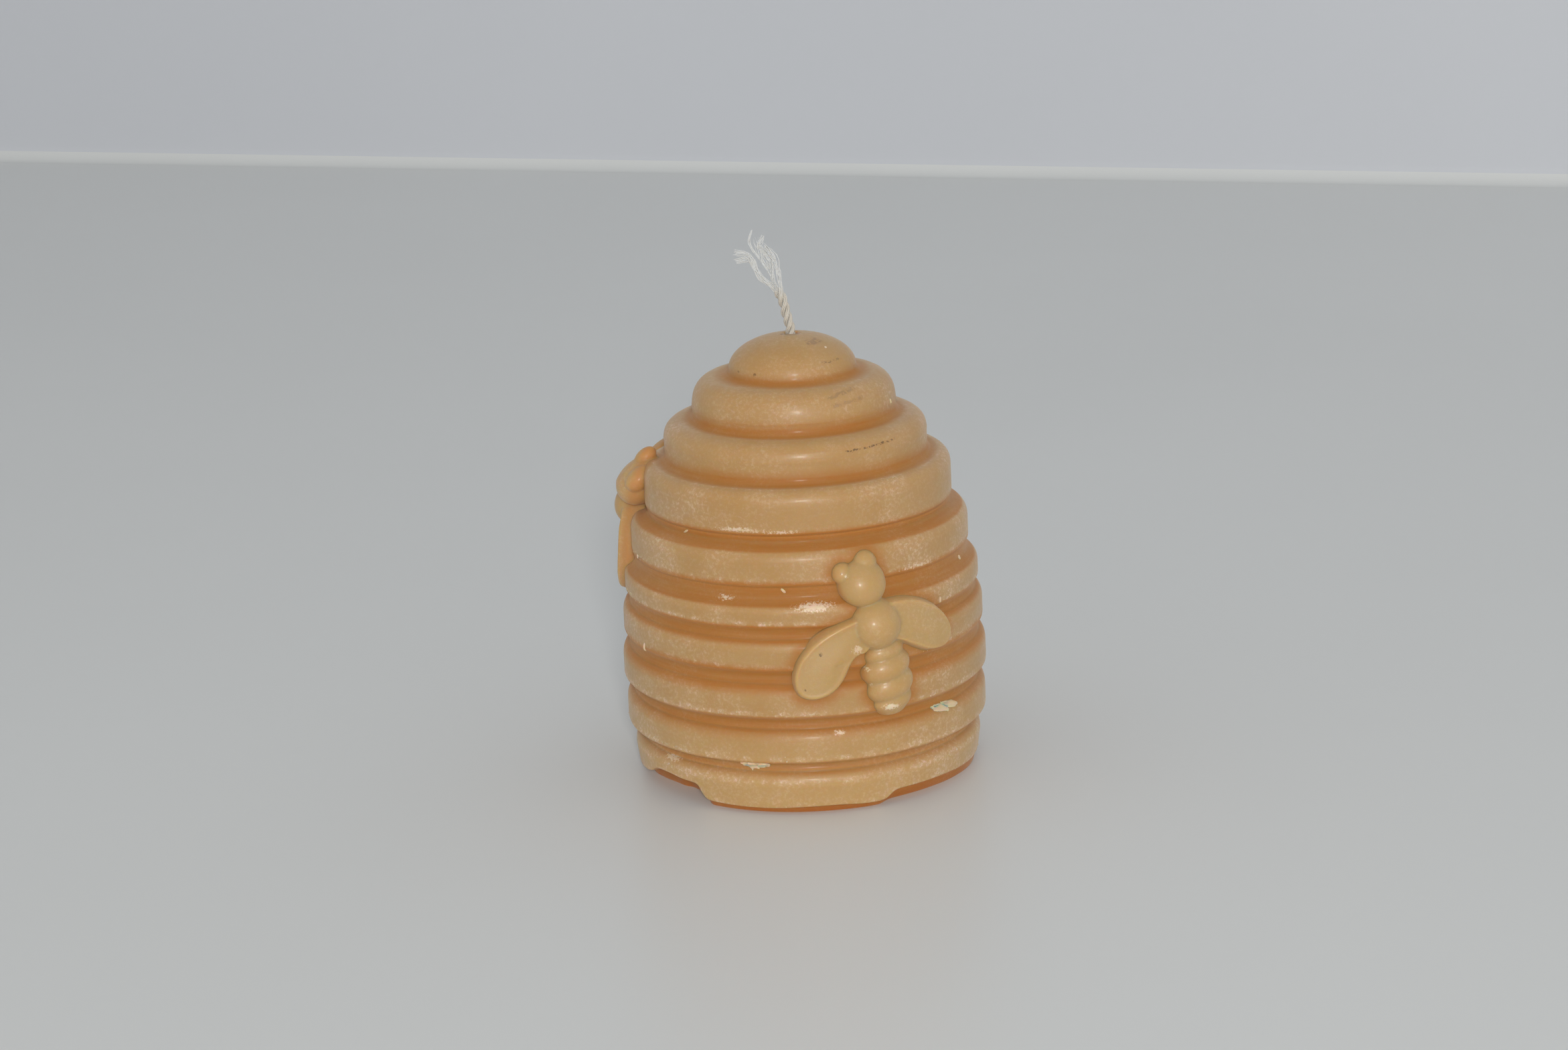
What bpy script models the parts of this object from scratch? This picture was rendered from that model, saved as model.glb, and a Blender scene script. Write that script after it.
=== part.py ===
"""Beeswax candle cast in the shape of a coiled skep, with bees on its rings and a cotton wick.

Units are metres and +Z is up. The origin is the centre of the base, on the axis of the skep.
An azimuth is an angle in degrees round that axis, from the front (-Y) towards +X.
"""
import math
from typing import NamedTuple

import bmesh
import bpy
from mathutils import Matrix, Vector
from mathutils.geometry import interpolate_bezier


class Tier(NamedTuple):
    """One ring of the skep, with the groove above it.

    The crown is how far its rounded upper edge reaches in, and the drop how far down. The lip is
    the rounding of its lower edge. A groove under zero is a valley behind the crown's crest.
    """

    radius: float
    height: float
    groove: float
    crown: float
    drop: float
    lip: float


class EdgePoint(NamedTuple):
    """A point of the skirt's lower edge: its azimuth, its height, and the foot's radius there."""

    azimuth: float
    height: float
    foot: float


class Ball(NamedTuple):
    """A rounded lump of a bee: its centre and its half sizes, across, along and outwards."""

    centre: tuple
    half: tuple


class Wing(NamedTuple):
    """A paddle-shaped wing: its middle, its half sizes, and its slant from the bee's length."""

    centre: tuple
    half_length: float
    half_width: float
    slant: float


class Place(NamedTuple):
    """Where a bee sits: azimuth, the ring over whose lower lip its thorax is and how far above it,
    distance off the rings, and turn and lean."""

    azimuth: float
    ring: int
    above: float
    off: float
    turn: float
    lean: float


# Main sizes: the widest ring's radius, and the height of a usual ring and groove
SKEP_RADIUS = 0.0315
RING_HEIGHT = 0.0060
RING_GROOVE = 0.0020

# Rings from the lowest to the one under the dome
TIERS = (
    Tier(radius=SKEP_RADIUS - 0.0014, height=RING_HEIGHT + 0.0008, groove=RING_GROOVE - 0.0002,
         crown=0.0024, drop=0.0026, lip=0.0005),
    Tier(radius=SKEP_RADIUS - 0.0003, height=RING_HEIGHT, groove=RING_GROOVE,
         crown=0.0024, drop=0.0026, lip=0.0005),
    Tier(radius=SKEP_RADIUS, height=RING_HEIGHT, groove=RING_GROOVE,
         crown=0.0024, drop=0.0026, lip=0.0005),
    Tier(radius=SKEP_RADIUS - 0.0004, height=RING_HEIGHT - 0.0004, groove=RING_GROOVE - 0.0003,
         crown=0.0024, drop=0.0024, lip=0.0005),
    Tier(radius=SKEP_RADIUS - 0.0012, height=RING_HEIGHT - 0.0019, groove=RING_GROOVE + 0.0006,
         crown=0.0022, drop=0.0018, lip=0.0005),
    Tier(radius=SKEP_RADIUS - 0.0026, height=RING_HEIGHT + 0.0003, groove=RING_GROOVE - 0.0003,
         crown=0.0026, drop=0.0026, lip=0.0005),
    Tier(radius=SKEP_RADIUS - 0.0052, height=RING_HEIGHT + 0.0015, groove=-0.0004,
         crown=0.0023, drop=0.0026, lip=0.0006),
    Tier(radius=SKEP_RADIUS - 0.0090, height=RING_HEIGHT + 0.00105, groove=-0.00045,
         crown=0.0042, drop=0.0032, lip=0.0008),
    Tier(radius=SKEP_RADIUS - 0.0150, height=RING_HEIGHT + 0.00175, groove=-0.00045,
         crown=0.0044, drop=0.0033, lip=0.0008),
)
CROWN_SQUARENESS = 2.3
GROOVE_DEPTH = 0.0024

# Dome: its radius, its rise, its upright side over the highest ring, and that side's lower edge
DOME_RADIUS = SKEP_RADIUS - 0.0206
DOME_RISE = 0.0058
DOME_SIDE = 0.0018
DOME_LIP = 0.0006

# Skirt and foot under the lowest ring
SKIRT_EDGE = 0.0009
SKIRT_TAPER = 0.0006
FOOT_INSET = 0.0013
FOOT_RADIUS = TIERS[0].radius - FOOT_INSET
UNDERCUT = 0.0026
UNDERCUT_SLOPE = 0.0008
SIDE_FOOT = FOOT_RADIUS - UNDERCUT
UNCUT_MARGIN = 0.0006
UNCUT = TIERS[0].radius + UNCUT_MARGIN
CUTTER_MARGIN = 0.0030
DISH_RADIUS = 0.0140
DISH_DEPTH = 0.0006

# Lower edge of the skirt, which is whole only at the front tongue
EDGE = (
    EdgePoint(azimuth=-180.0, height=0.0024, foot=SIDE_FOOT),
    EdgePoint(azimuth=-110.0, height=0.0022, foot=SIDE_FOOT),
    EdgePoint(azimuth=-70.0, height=0.0027, foot=SIDE_FOOT),
    EdgePoint(azimuth=-57.0, height=0.0041, foot=SIDE_FOOT),
    EdgePoint(azimuth=-41.0, height=0.0036, foot=SIDE_FOOT),
    EdgePoint(azimuth=-36.0, height=SKIRT_EDGE, foot=UNCUT),
    EdgePoint(azimuth=22.5, height=SKIRT_EDGE, foot=UNCUT),
    EdgePoint(azimuth=31.0, height=0.0024, foot=SIDE_FOOT),
    EdgePoint(azimuth=45.0, height=0.0026, foot=SIDE_FOOT),
    EdgePoint(azimuth=62.0, height=0.0021, foot=SIDE_FOOT),
    EdgePoint(azimuth=85.0, height=0.0017, foot=SIDE_FOOT),
    EdgePoint(azimuth=130.0, height=0.0021, foot=SIDE_FOOT),
)

# Wick: where it is trimmed, its radius and its bent and frayed end
WICK_RADIUS = 0.0009
WICK_TRIM_ABOVE_DISH = 0.0003
WICK_STRAIGHT = 0.0008
WICK_BEND = (
    (-0.0004, 0.0000, 0.0032),
    (-0.0013, 0.0000, 0.0060),
    (-0.0028, 0.0000, 0.0083),
)
STRAND_RADIUS = 0.00045
STRANDS = (
    ((-0.0022, -0.0001, 0.0072), (-0.0046, -0.0003, 0.0094), (-0.0062, -0.0005, 0.0124),
     (-0.0088, -0.0004, 0.0134)),
    ((-0.0026, 0.0003, 0.0078), (-0.0040, 0.0005, 0.0108), (-0.0061, 0.0007, 0.0140),
     (-0.0057, 0.0008, 0.0176)),
    ((-0.0026, -0.0003, 0.0078), (-0.0036, -0.0006, 0.0116), (-0.0046, -0.0008, 0.0142),
     (-0.0036, -0.0007, 0.0167)),
    ((-0.0020, 0.0001, 0.0070), (-0.0014, 0.0002, 0.0104), (-0.0020, 0.0002, 0.0140),
     (-0.0040, 0.0000, 0.0149)),
)

# A bee in its own flat frame: across, along towards its head, and outwards from the rings
THORAX = Ball(centre=(0.0000, 0.0000, -0.0010), half=(0.0042, 0.0042, 0.0042))
NECK_OVERLAP = 0.0014
HEAD_HALF = (0.0041, 0.0038, 0.0039)
HEAD_ALONG = THORAX.half[1] + HEAD_HALF[1] - NECK_OVERLAP
HEAD = Ball(centre=(-0.0024, HEAD_ALONG, -0.0013), half=HEAD_HALF)
EYE = Ball(centre=(-0.0060, HEAD_ALONG + 0.0022, -0.0005), half=(0.0018, 0.0018, 0.0018))
ANTENNA = Ball(centre=(-0.0018, HEAD_ALONG + 0.0040, -0.0003), half=(0.0016, 0.0019, 0.0019))
WAIST_OVERLAP = 0.0021
ABDOMEN_HALF = (0.0049, 0.0070, 0.0036)
ABDOMEN_ALONG = -(THORAX.half[1] + ABDOMEN_HALF[1] - WAIST_OVERLAP)
ABDOMEN = Ball(centre=(0.0010, ABDOMEN_ALONG, -0.0012), half=ABDOMEN_HALF)
ABDOMEN_SLANT = 6.0
ABDOMEN_SQUARENESS = 2.5
SEGMENTS = 6
SEGMENT_DEPTH = 0.09
LEFT_WING = Wing(centre=(-0.0087, -0.0045), half_length=0.0086, half_width=0.0037, slant=-36.0)
RIGHT_WING = Wing(centre=(0.0077, -0.0014), half_length=0.0070, half_width=0.0039, slant=60.0)
WING_TAPER = 0.20
WING_TOP = 0.0015
WING_ROOT = 0.0046
WING_BEVEL = 0.0004
WING_RIM = 0.0007
WING_HOLLOW = 0.0003
BEES = {
    "front_bee": Place(azimuth=24.0, ring=5, above=-0.0003, off=0.0002, turn=0.0, lean=0.0),
    "left_bee": Place(azimuth=-103.0, ring=7, above=-0.0010, off=0.0013, turn=-60.0, lean=6.0),
    "back_bee": Place(azimuth=152.0, ring=6, above=-0.0005, off=0.0006, turn=12.0, lean=2.0),
}

# Gaps between pieces that touch
SEAT_GAP = 0.0003
WICK_GAP = 0.0003

# Facets
TURN_STEPS = 44
CROWN_STEPS = 4
LIP_STEPS = 2
DOME_STEPS = 7
BALL_SIDES = 14
BALL_RINGS = 9
ABDOMEN_RINGS = 3 * SEGMENTS
WING_SIDES = 20
STRAND_STEPS = 7
EDGE_STEP = 9.0

MERGE = 0.00001


def clear_scene():
    """Remove every object of the file that the script runs in."""
    for thing in list(bpy.data.objects):
        bpy.data.objects.remove(thing, do_unlink=True)


def new_collection(name):
    """Make a collection in the scene."""
    collection = bpy.data.collections.new(name)
    bpy.context.scene.collection.children.link(collection)
    return collection


def new_object(name, data, collection):
    """Make an object and put it in a collection."""
    thing = bpy.data.objects.new(name, data)
    collection.objects.link(thing)
    return thing


def wax_material(name, colour, roughness):
    """Make a plain material: translucent wax or cotton, neither of them metal."""
    material = bpy.data.materials.new(name)
    material.use_nodes = True
    shader = material.node_tree.nodes["Principled BSDF"]
    shader.inputs["Base Color"].default_value = (*colour, 1.0)
    shader.inputs["Roughness"].default_value = roughness
    shader.inputs["Metallic"].default_value = 0.0
    return material


def object_from_shape(name, shape, collection):
    """Turn an edit mesh into an object, and free it."""
    mesh = bpy.data.meshes.new(name)
    shape.to_mesh(mesh)
    shape.free()
    return new_object(name, mesh, collection)


def hide_cutter(thing):
    """Show a cutter as wire only."""
    thing.hide_render = True
    thing.display_type = "WIRE"


def evaluated_mesh(thing, name):
    """Copy an object's mesh with its modifiers applied, in its own frame."""
    graph = bpy.context.evaluated_depsgraph_get()
    mesh = bpy.data.meshes.new_from_object(thing.evaluated_get(graph))
    mesh.name = name
    return mesh


def add_boolean(thing, operation, other):
    """Put an exact Boolean modifier on an object."""
    modifier = thing.modifiers.new(operation.title(), "BOOLEAN")
    modifier.operation = operation
    modifier.solver = "EXACT"
    modifier.object = other


def unite(pieces, name):
    """Join overlapping closed pieces into one mesh, and remove them."""
    first = pieces[0]
    for other in pieces[1:]:
        add_boolean(first, "UNION", other)
    mesh = evaluated_mesh(first, name)
    for piece in pieces:
        bpy.data.objects.remove(piece, do_unlink=True)
    return mesh


def placed_tiers():
    """Give each tier with the heights of its lower and upper lip, from the lowest ring up."""
    placed = []
    bottom = SKIRT_EDGE
    for tier in TIERS:
        placed.append((tier, bottom, bottom + tier.height))
        bottom += tier.height + tier.groove
    return placed


def dome_base():
    """Give the height of the lower edge of the dome's side."""
    return SKIRT_EDGE + sum(tier.height + tier.groove for tier in TIERS)


def candle_top():
    """Give the height of the wax at the axis."""
    return dome_base() + DOME_SIDE + DOME_RISE


def quarter_arc(middle, across, up, start, end, steps, squareness=2.0):
    """Follow a quarter of a squared ellipse round its middle, from one angle to another.

    The angles are in degrees: 90 is straight up, 0 outwards and -90 straight down.
    """
    points = []
    for step in range(steps + 1):
        angle = math.radians(start + (end - start) * step / steps)
        reach = across * abs(math.cos(angle)) ** (2.0 / squareness)
        rise = up * abs(math.sin(angle)) ** (2.0 / squareness)
        points.append((middle[0] + reach, middle[1] + math.copysign(rise, math.sin(angle))))
    return points


def joint_outline(radius, lip, bottom, tier, gap):
    """Draw from the side of one ring, past its lower lip, to the crest of the tier below it.

    Over a groove the lip is rounded. Over a valley the side tapers in to the valley's floor,
    which a seat with a gap bridges, so that nothing on it ends in a sliver behind the crest.
    """
    if tier.groove <= 0.0:
        side = (radius + gap, bottom + lip + gap)
        return [side] if gap > 0.0 else [side, (radius - lip, bottom)]
    points = quarter_arc((radius - lip, bottom + lip), lip + gap, lip + gap, 0.0, -90.0, LIP_STEPS)
    floor_radius = min(tier.radius, radius) - GROOVE_DEPTH + gap
    points.append((floor_radius, bottom - tier.groove / 2.0))
    return points


def skep_outline(gap, bore_radius):
    """Draw half of the skep's section as a closed outline, down the outside first.

    A gap over zero moves the outside outwards by that much, for cutting what sits on it.
    """
    tiers = placed_tiers()
    shoulder = dome_base() + DOME_SIDE
    start = math.degrees(math.acos(bore_radius / (DOME_RADIUS + gap)))
    points = quarter_arc((0.0, shoulder), DOME_RADIUS + gap, DOME_RISE + gap, start, 0.0, DOME_STEPS)
    upper = (DOME_RADIUS, DOME_LIP, dome_base())
    for tier, bottom, top in reversed(tiers):
        points += joint_outline(*upper, tier, gap)
        corner = (tier.radius - tier.crown, top - tier.drop)
        points += quarter_arc(
            corner, tier.crown + gap, tier.drop + gap, 90.0, 0.0, CROWN_STEPS, CROWN_SQUARENESS
        )
        upper = (tier.radius, tier.lip, bottom)
    skirt_radius = TIERS[0].radius - SKIRT_TAPER + gap
    points.append((skirt_radius, SKIRT_EDGE))
    points.append((FOOT_RADIUS + gap, -gap))
    points.append((DISH_RADIUS, -gap))
    points.append((bore_radius, DISH_DEPTH - gap))
    return points


def turned_object(name, outline, collection):
    """Turn a closed outline of radius and height round the Z axis."""
    mesh = bpy.data.meshes.new(name)
    count = len(outline)
    edges = [(index, (index + 1) % count) for index in range(count)]
    mesh.from_pydata([(radius, 0.0, height) for radius, height in outline], edges, [])
    thing = new_object(name, mesh, collection)
    screw = thing.modifiers.new("Turn", "SCREW")
    screw.axis = "Z"
    screw.angle = math.tau
    screw.steps = TURN_STEPS
    screw.render_steps = TURN_STEPS
    screw.use_merge_vertices = True
    screw.merge_threshold = MERGE
    screw.use_smooth_shade = True
    return thing


def edge_stations():
    """Give the skirt's edge points, with more between them so that the cut stays round."""
    stations = []
    for point, following in zip(EDGE, EDGE[1:] + EDGE[:1]):
        span = (following.azimuth - point.azimuth) % 360.0
        parts = max(1, math.ceil(span / EDGE_STEP))
        for part in range(parts):
            share = part / parts
            stations.append(EdgePoint(
                azimuth=point.azimuth + span * share,
                height=point.height + (following.height - point.height) * share,
                foot=point.foot + (following.foot - point.foot) * share,
            ))
    return stations


def undercut_cutter(collection):
    """Loft the ring that cuts the skirt back to the foot, all round but at the front tongue."""
    outer = max(tier.radius for tier in TIERS) + CUTTER_MARGIN
    below = -DISH_DEPTH
    shape = bmesh.new()
    rings = []
    for station in edge_stations():
        section = (
            (station.foot, below),
            (station.foot + UNDERCUT_SLOPE, station.height),
            (outer, station.height),
            (outer, below),
        )
        angle = math.radians(station.azimuth)
        rings.append([
            shape.verts.new((radius * math.sin(angle), -radius * math.cos(angle), height))
            for radius, height in section
        ])
    for ring, following in zip(rings, rings[1:] + rings[:1]):
        for side in range(4):
            other = (side + 1) % 4
            shape.faces.new((ring[side], ring[other], following[other], following[side]))
    bmesh.ops.recalc_face_normals(shape, faces=shape.faces)
    cutter = object_from_shape("undercut_cutter", shape, collection)
    hide_cutter(cutter)
    return cutter


def make_body(parts, cutters):
    """Make the skep: turned with its wick bore, then undercut at its lower edge."""
    bore_radius = WICK_RADIUS + WICK_GAP
    body = turned_object("wax_body", skep_outline(0.0, bore_radius), parts)
    add_boolean(body, "DIFFERENCE", undercut_cutter(cutters))
    body.data.materials.append(wax_material("body_wax", (0.52, 0.27, 0.09), 0.42))
    return body


def unit_ball(rings):
    """Make a ball of radius 1 with its poles at the head and tail ends of a bee."""
    shape = bmesh.new()
    bmesh.ops.create_uvsphere(shape, u_segments=BALL_SIDES, v_segments=rings, radius=1.0)
    bmesh.ops.rotate(shape, verts=shape.verts, matrix=Matrix.Rotation(math.tau / 4.0, 3, "X"))
    return shape


def set_down(shape, centre, half, slant):
    """Scale a unit shape, slant it in the plane of the bee, and move it to its place."""
    turn = Matrix.Rotation(math.radians(slant), 4, "Z")
    place = Matrix.Translation(centre) @ turn @ Matrix.Diagonal((*half, 1.0))
    bmesh.ops.transform(shape, matrix=place, verts=shape.verts)


def lump_object(name, ball, collection):
    """Make a plain rounded lump of a bee."""
    shape = unit_ball(BALL_RINGS)
    set_down(shape, ball.centre, ball.half, 0.0)
    return object_from_shape(name, shape, collection)


def abdomen_object(collection):
    """Make the abdomen: a barrel drawn in between its segments."""
    shape = unit_ball(ABDOMEN_RINGS)
    for vertex in shape.verts:
        angle = math.acos(max(-1.0, min(1.0, vertex.co.y)))
        around = math.hypot(vertex.co.x, vertex.co.z)
        barrel = around ** (2.0 / ABDOMEN_SQUARENESS - 1.0) if around > MERGE else 1.0
        drawn_in = 1.0 - SEGMENT_DEPTH * (1.0 - abs(math.sin(SEGMENTS * angle)))
        vertex.co.x *= barrel * drawn_in
        vertex.co.z *= barrel * drawn_in
    set_down(shape, ABDOMEN.centre, ABDOMEN.half, ABDOMEN_SLANT)
    return object_from_shape("abdomen", shape, collection)


def wing_object(name, wing, collection):
    """Make a wing: an upright paddle with a raised rim, deep enough to reach into the grooves."""
    shape = bmesh.new()
    depth = WING_TOP + WING_ROOT
    bmesh.ops.create_cone(
        shape, cap_ends=True, segments=WING_SIDES, radius1=1.0, radius2=1.0, depth=depth
    )
    for vertex in shape.verts:
        vertex.co.x *= 1.0 - WING_TAPER * vertex.co.y
    middle = (*wing.centre, WING_TOP - depth / 2.0)
    set_down(shape, middle, (wing.half_width, wing.half_length, 1.0), wing.slant)
    top = max(shape.faces, key=lambda face: face.calc_center_median().z)
    bmesh.ops.inset_region(shape, faces=[top], thickness=WING_BEVEL, depth=WING_HOLLOW)
    bmesh.ops.inset_region(shape, faces=[top], thickness=WING_RIM, depth=-WING_HOLLOW)
    bmesh.ops.poke(shape, faces=[top])
    return object_from_shape(name, shape, collection)


def bee_shape(collection):
    """Join a bee's lumps and wings into one closed mesh in its own flat frame."""
    pieces = [
        lump_object("thorax", THORAX, collection),
        lump_object("head", HEAD, collection),
        lump_object("eye", EYE, collection),
        lump_object("antenna", ANTENNA, collection),
        abdomen_object(collection),
        wing_object("left_wing", LEFT_WING, collection),
        wing_object("right_wing", RIGHT_WING, collection),
    ]
    mesh = unite(pieces, "bee_shape")
    shape = bmesh.new()
    shape.from_mesh(mesh)
    bmesh.ops.remove_doubles(shape, verts=shape.verts, dist=MERGE)
    bmesh.ops.triangulate(shape, faces=shape.faces)
    shape.to_mesh(mesh)
    shape.free()
    return mesh


def face_radius(height):
    """Give the radius of the rings' faces at a height, drawn straight from ring to ring."""
    faces = [((bottom + top) / 2.0, tier.radius) for tier, bottom, top in placed_tiers()]
    if height <= faces[0][0]:
        return faces[0][1]
    for (lower, wider), (upper, narrower) in zip(faces, faces[1:]):
        if height <= upper:
            return wider + (narrower - wider) * (height - lower) / (upper - lower)
    return faces[-1][1]


def thorax_height(place):
    """Give the height of a bee's thorax, measured from the lower lip of its ring."""
    bottom = placed_tiers()[place.ring - 1][1]
    return bottom + place.above


def wrap_bee(mesh, name, place):
    """Bend a copy of the flat bee round the skep, in a frame turned to its azimuth."""
    height = thorax_height(place)
    radius = face_radius(height)
    lean = math.tan(math.radians(place.lean))
    wrapped = mesh.copy()
    wrapped.name = name
    wrapped.transform(Matrix.Rotation(math.radians(place.turn), 4, "Z"))
    for vertex in wrapped.vertices:
        across, along, out = vertex.co
        angle = across / radius
        reach = face_radius(height + along) + place.off + along * lean + out
        vertex.co = (reach * math.sin(angle), -reach * math.cos(angle), along)
    return wrapped


def make_bees(parts, cutters):
    """Make each bee: bent round the skep, and cut on its underside to seat on the rings."""
    seat = turned_object("seat_cutter", skep_outline(SEAT_GAP, WICK_RADIUS), cutters)
    hide_cutter(seat)
    shape = bee_shape(cutters)
    for name, place in BEES.items():
        bee = new_object(name, wrap_bee(shape, name, place), parts)
        bee.location = (0.0, 0.0, thorax_height(place))
        bee.rotation_euler = (0.0, 0.0, math.radians(place.azimuth))
        add_boolean(bee, "DIFFERENCE", seat)
        bee.data.materials.append(wax_material(name + "_wax", (0.60, 0.38, 0.14), 0.38))
        for polygon in bee.data.polygons:
            polygon.use_smooth = True
    bpy.data.meshes.remove(shape)


def tube_object(name, points, radius, collection):
    """Make a closed round tube along a line of points, as a mesh."""
    curve = bpy.data.curves.new(name, "CURVE")
    curve.dimensions = "3D"
    curve.bevel_depth = radius
    curve.bevel_resolution = 2
    curve.use_fill_caps = True
    spline = curve.splines.new("POLY")
    spline.points.add(len(points) - 1)
    for target, point in zip(spline.points, points):
        target.co = (*point, 1.0)
    guide = new_object(name + "_line", curve, collection)
    mesh = evaluated_mesh(guide, name)
    shape = bmesh.new()
    shape.from_mesh(mesh)
    bmesh.ops.remove_doubles(shape, verts=shape.verts, dist=MERGE)
    bmesh.ops.recalc_face_normals(shape, faces=shape.faces)
    shape.to_mesh(mesh)
    shape.free()
    thing = new_object(name, mesh, collection)
    thing.matrix_world = guide.matrix_world
    bpy.data.objects.remove(guide, do_unlink=True)
    return thing


def make_wick(parts, cutters):
    """Make the wick: straight through the bore, bent above the dome, and frayed at its end."""
    top = Vector((0.0, 0.0, candle_top()))
    trim = Vector((0.0, 0.0, DISH_DEPTH + WICK_TRIM_ABOVE_DISH))
    exit_point = top + Vector((0.0, 0.0, WICK_STRAIGHT))
    trunk = [trim, exit_point] + [top + Vector(point) for point in WICK_BEND]
    pieces = [tube_object("trunk", trunk, WICK_RADIUS, cutters)]
    for index, knots in enumerate(STRANDS):
        knots = [top + Vector(knot) for knot in knots]
        line = interpolate_bezier(*knots, STRAND_STEPS)
        pieces.append(tube_object(f"strand_{index}", line, STRAND_RADIUS, cutters))
    mesh = unite(pieces, "wick")
    wick = new_object("wick", mesh, parts)
    mesh.materials.clear()
    mesh.materials.append(wax_material("cotton", (0.66, 0.62, 0.54), 0.85))
    return wick


def main():
    """Build the candle."""
    clear_scene()
    parts = new_collection("skep_candle")
    cutters = new_collection("cutters")
    make_body(parts, cutters)
    make_bees(parts, cutters)
    make_wick(parts, cutters)


main()
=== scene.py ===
"""Looks of the skep-shaped beeswax candle: cast wax, three bees, a frayed wick and loose crumbs.

Units are metres, +Z is up and -Y faces the viewer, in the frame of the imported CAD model.
An azimuth is an angle in degrees round the candle's axis, from the front (-Y) towards +X.
"""
from __future__ import annotations

import logging
import math
import sys
from dataclasses import dataclass
from enum import Enum
from typing import NamedTuple

import bmesh
import bpy
import numpy as np
from bmesh.types import BMesh, BMFace, BMVert
from bpy.types import Collection, Material, Mesh, Node, NodeSocket, NodeTree, Object
from mathutils import Matrix, Vector
from mathutils.bvhtree import BVHTree
from mathutils.geometry import interpolate_bezier


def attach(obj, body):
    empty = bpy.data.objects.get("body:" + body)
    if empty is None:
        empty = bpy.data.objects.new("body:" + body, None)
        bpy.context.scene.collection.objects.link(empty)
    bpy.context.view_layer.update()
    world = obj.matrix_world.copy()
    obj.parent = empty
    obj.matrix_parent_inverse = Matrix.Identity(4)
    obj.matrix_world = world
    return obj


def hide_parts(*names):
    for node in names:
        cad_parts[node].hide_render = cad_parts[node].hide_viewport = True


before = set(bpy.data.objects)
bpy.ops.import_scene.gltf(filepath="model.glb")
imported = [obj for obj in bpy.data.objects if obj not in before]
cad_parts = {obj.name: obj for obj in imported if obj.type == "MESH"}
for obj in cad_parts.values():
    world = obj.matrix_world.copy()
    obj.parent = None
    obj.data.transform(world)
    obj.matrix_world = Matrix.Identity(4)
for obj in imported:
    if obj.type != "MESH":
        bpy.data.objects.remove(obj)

LOG = logging.getLogger("candle")
Pair = tuple[float, float]
Point = tuple[float, float, float]
Colour = tuple[float, float, float]
Feed = float | int | str | tuple | NodeSocket | bpy.types.ID | None
Feeds = dict[str | int, Feed]
HALF = (0.5, 0.5, 0.5)


class Mask(Enum):
    """Vertex attributes that the wax carries for its finish: the groove mask and the glow mask round the bees say
    where shade and glow are painted, and the lip mask where bloom lies along the lips and crests.
    """

    GROOVE_SHADE = "groove"
    LIP = "lip"
    # Painted glow and shade in the creases round each bee.
    BEE_GLOW = "hug"


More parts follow.
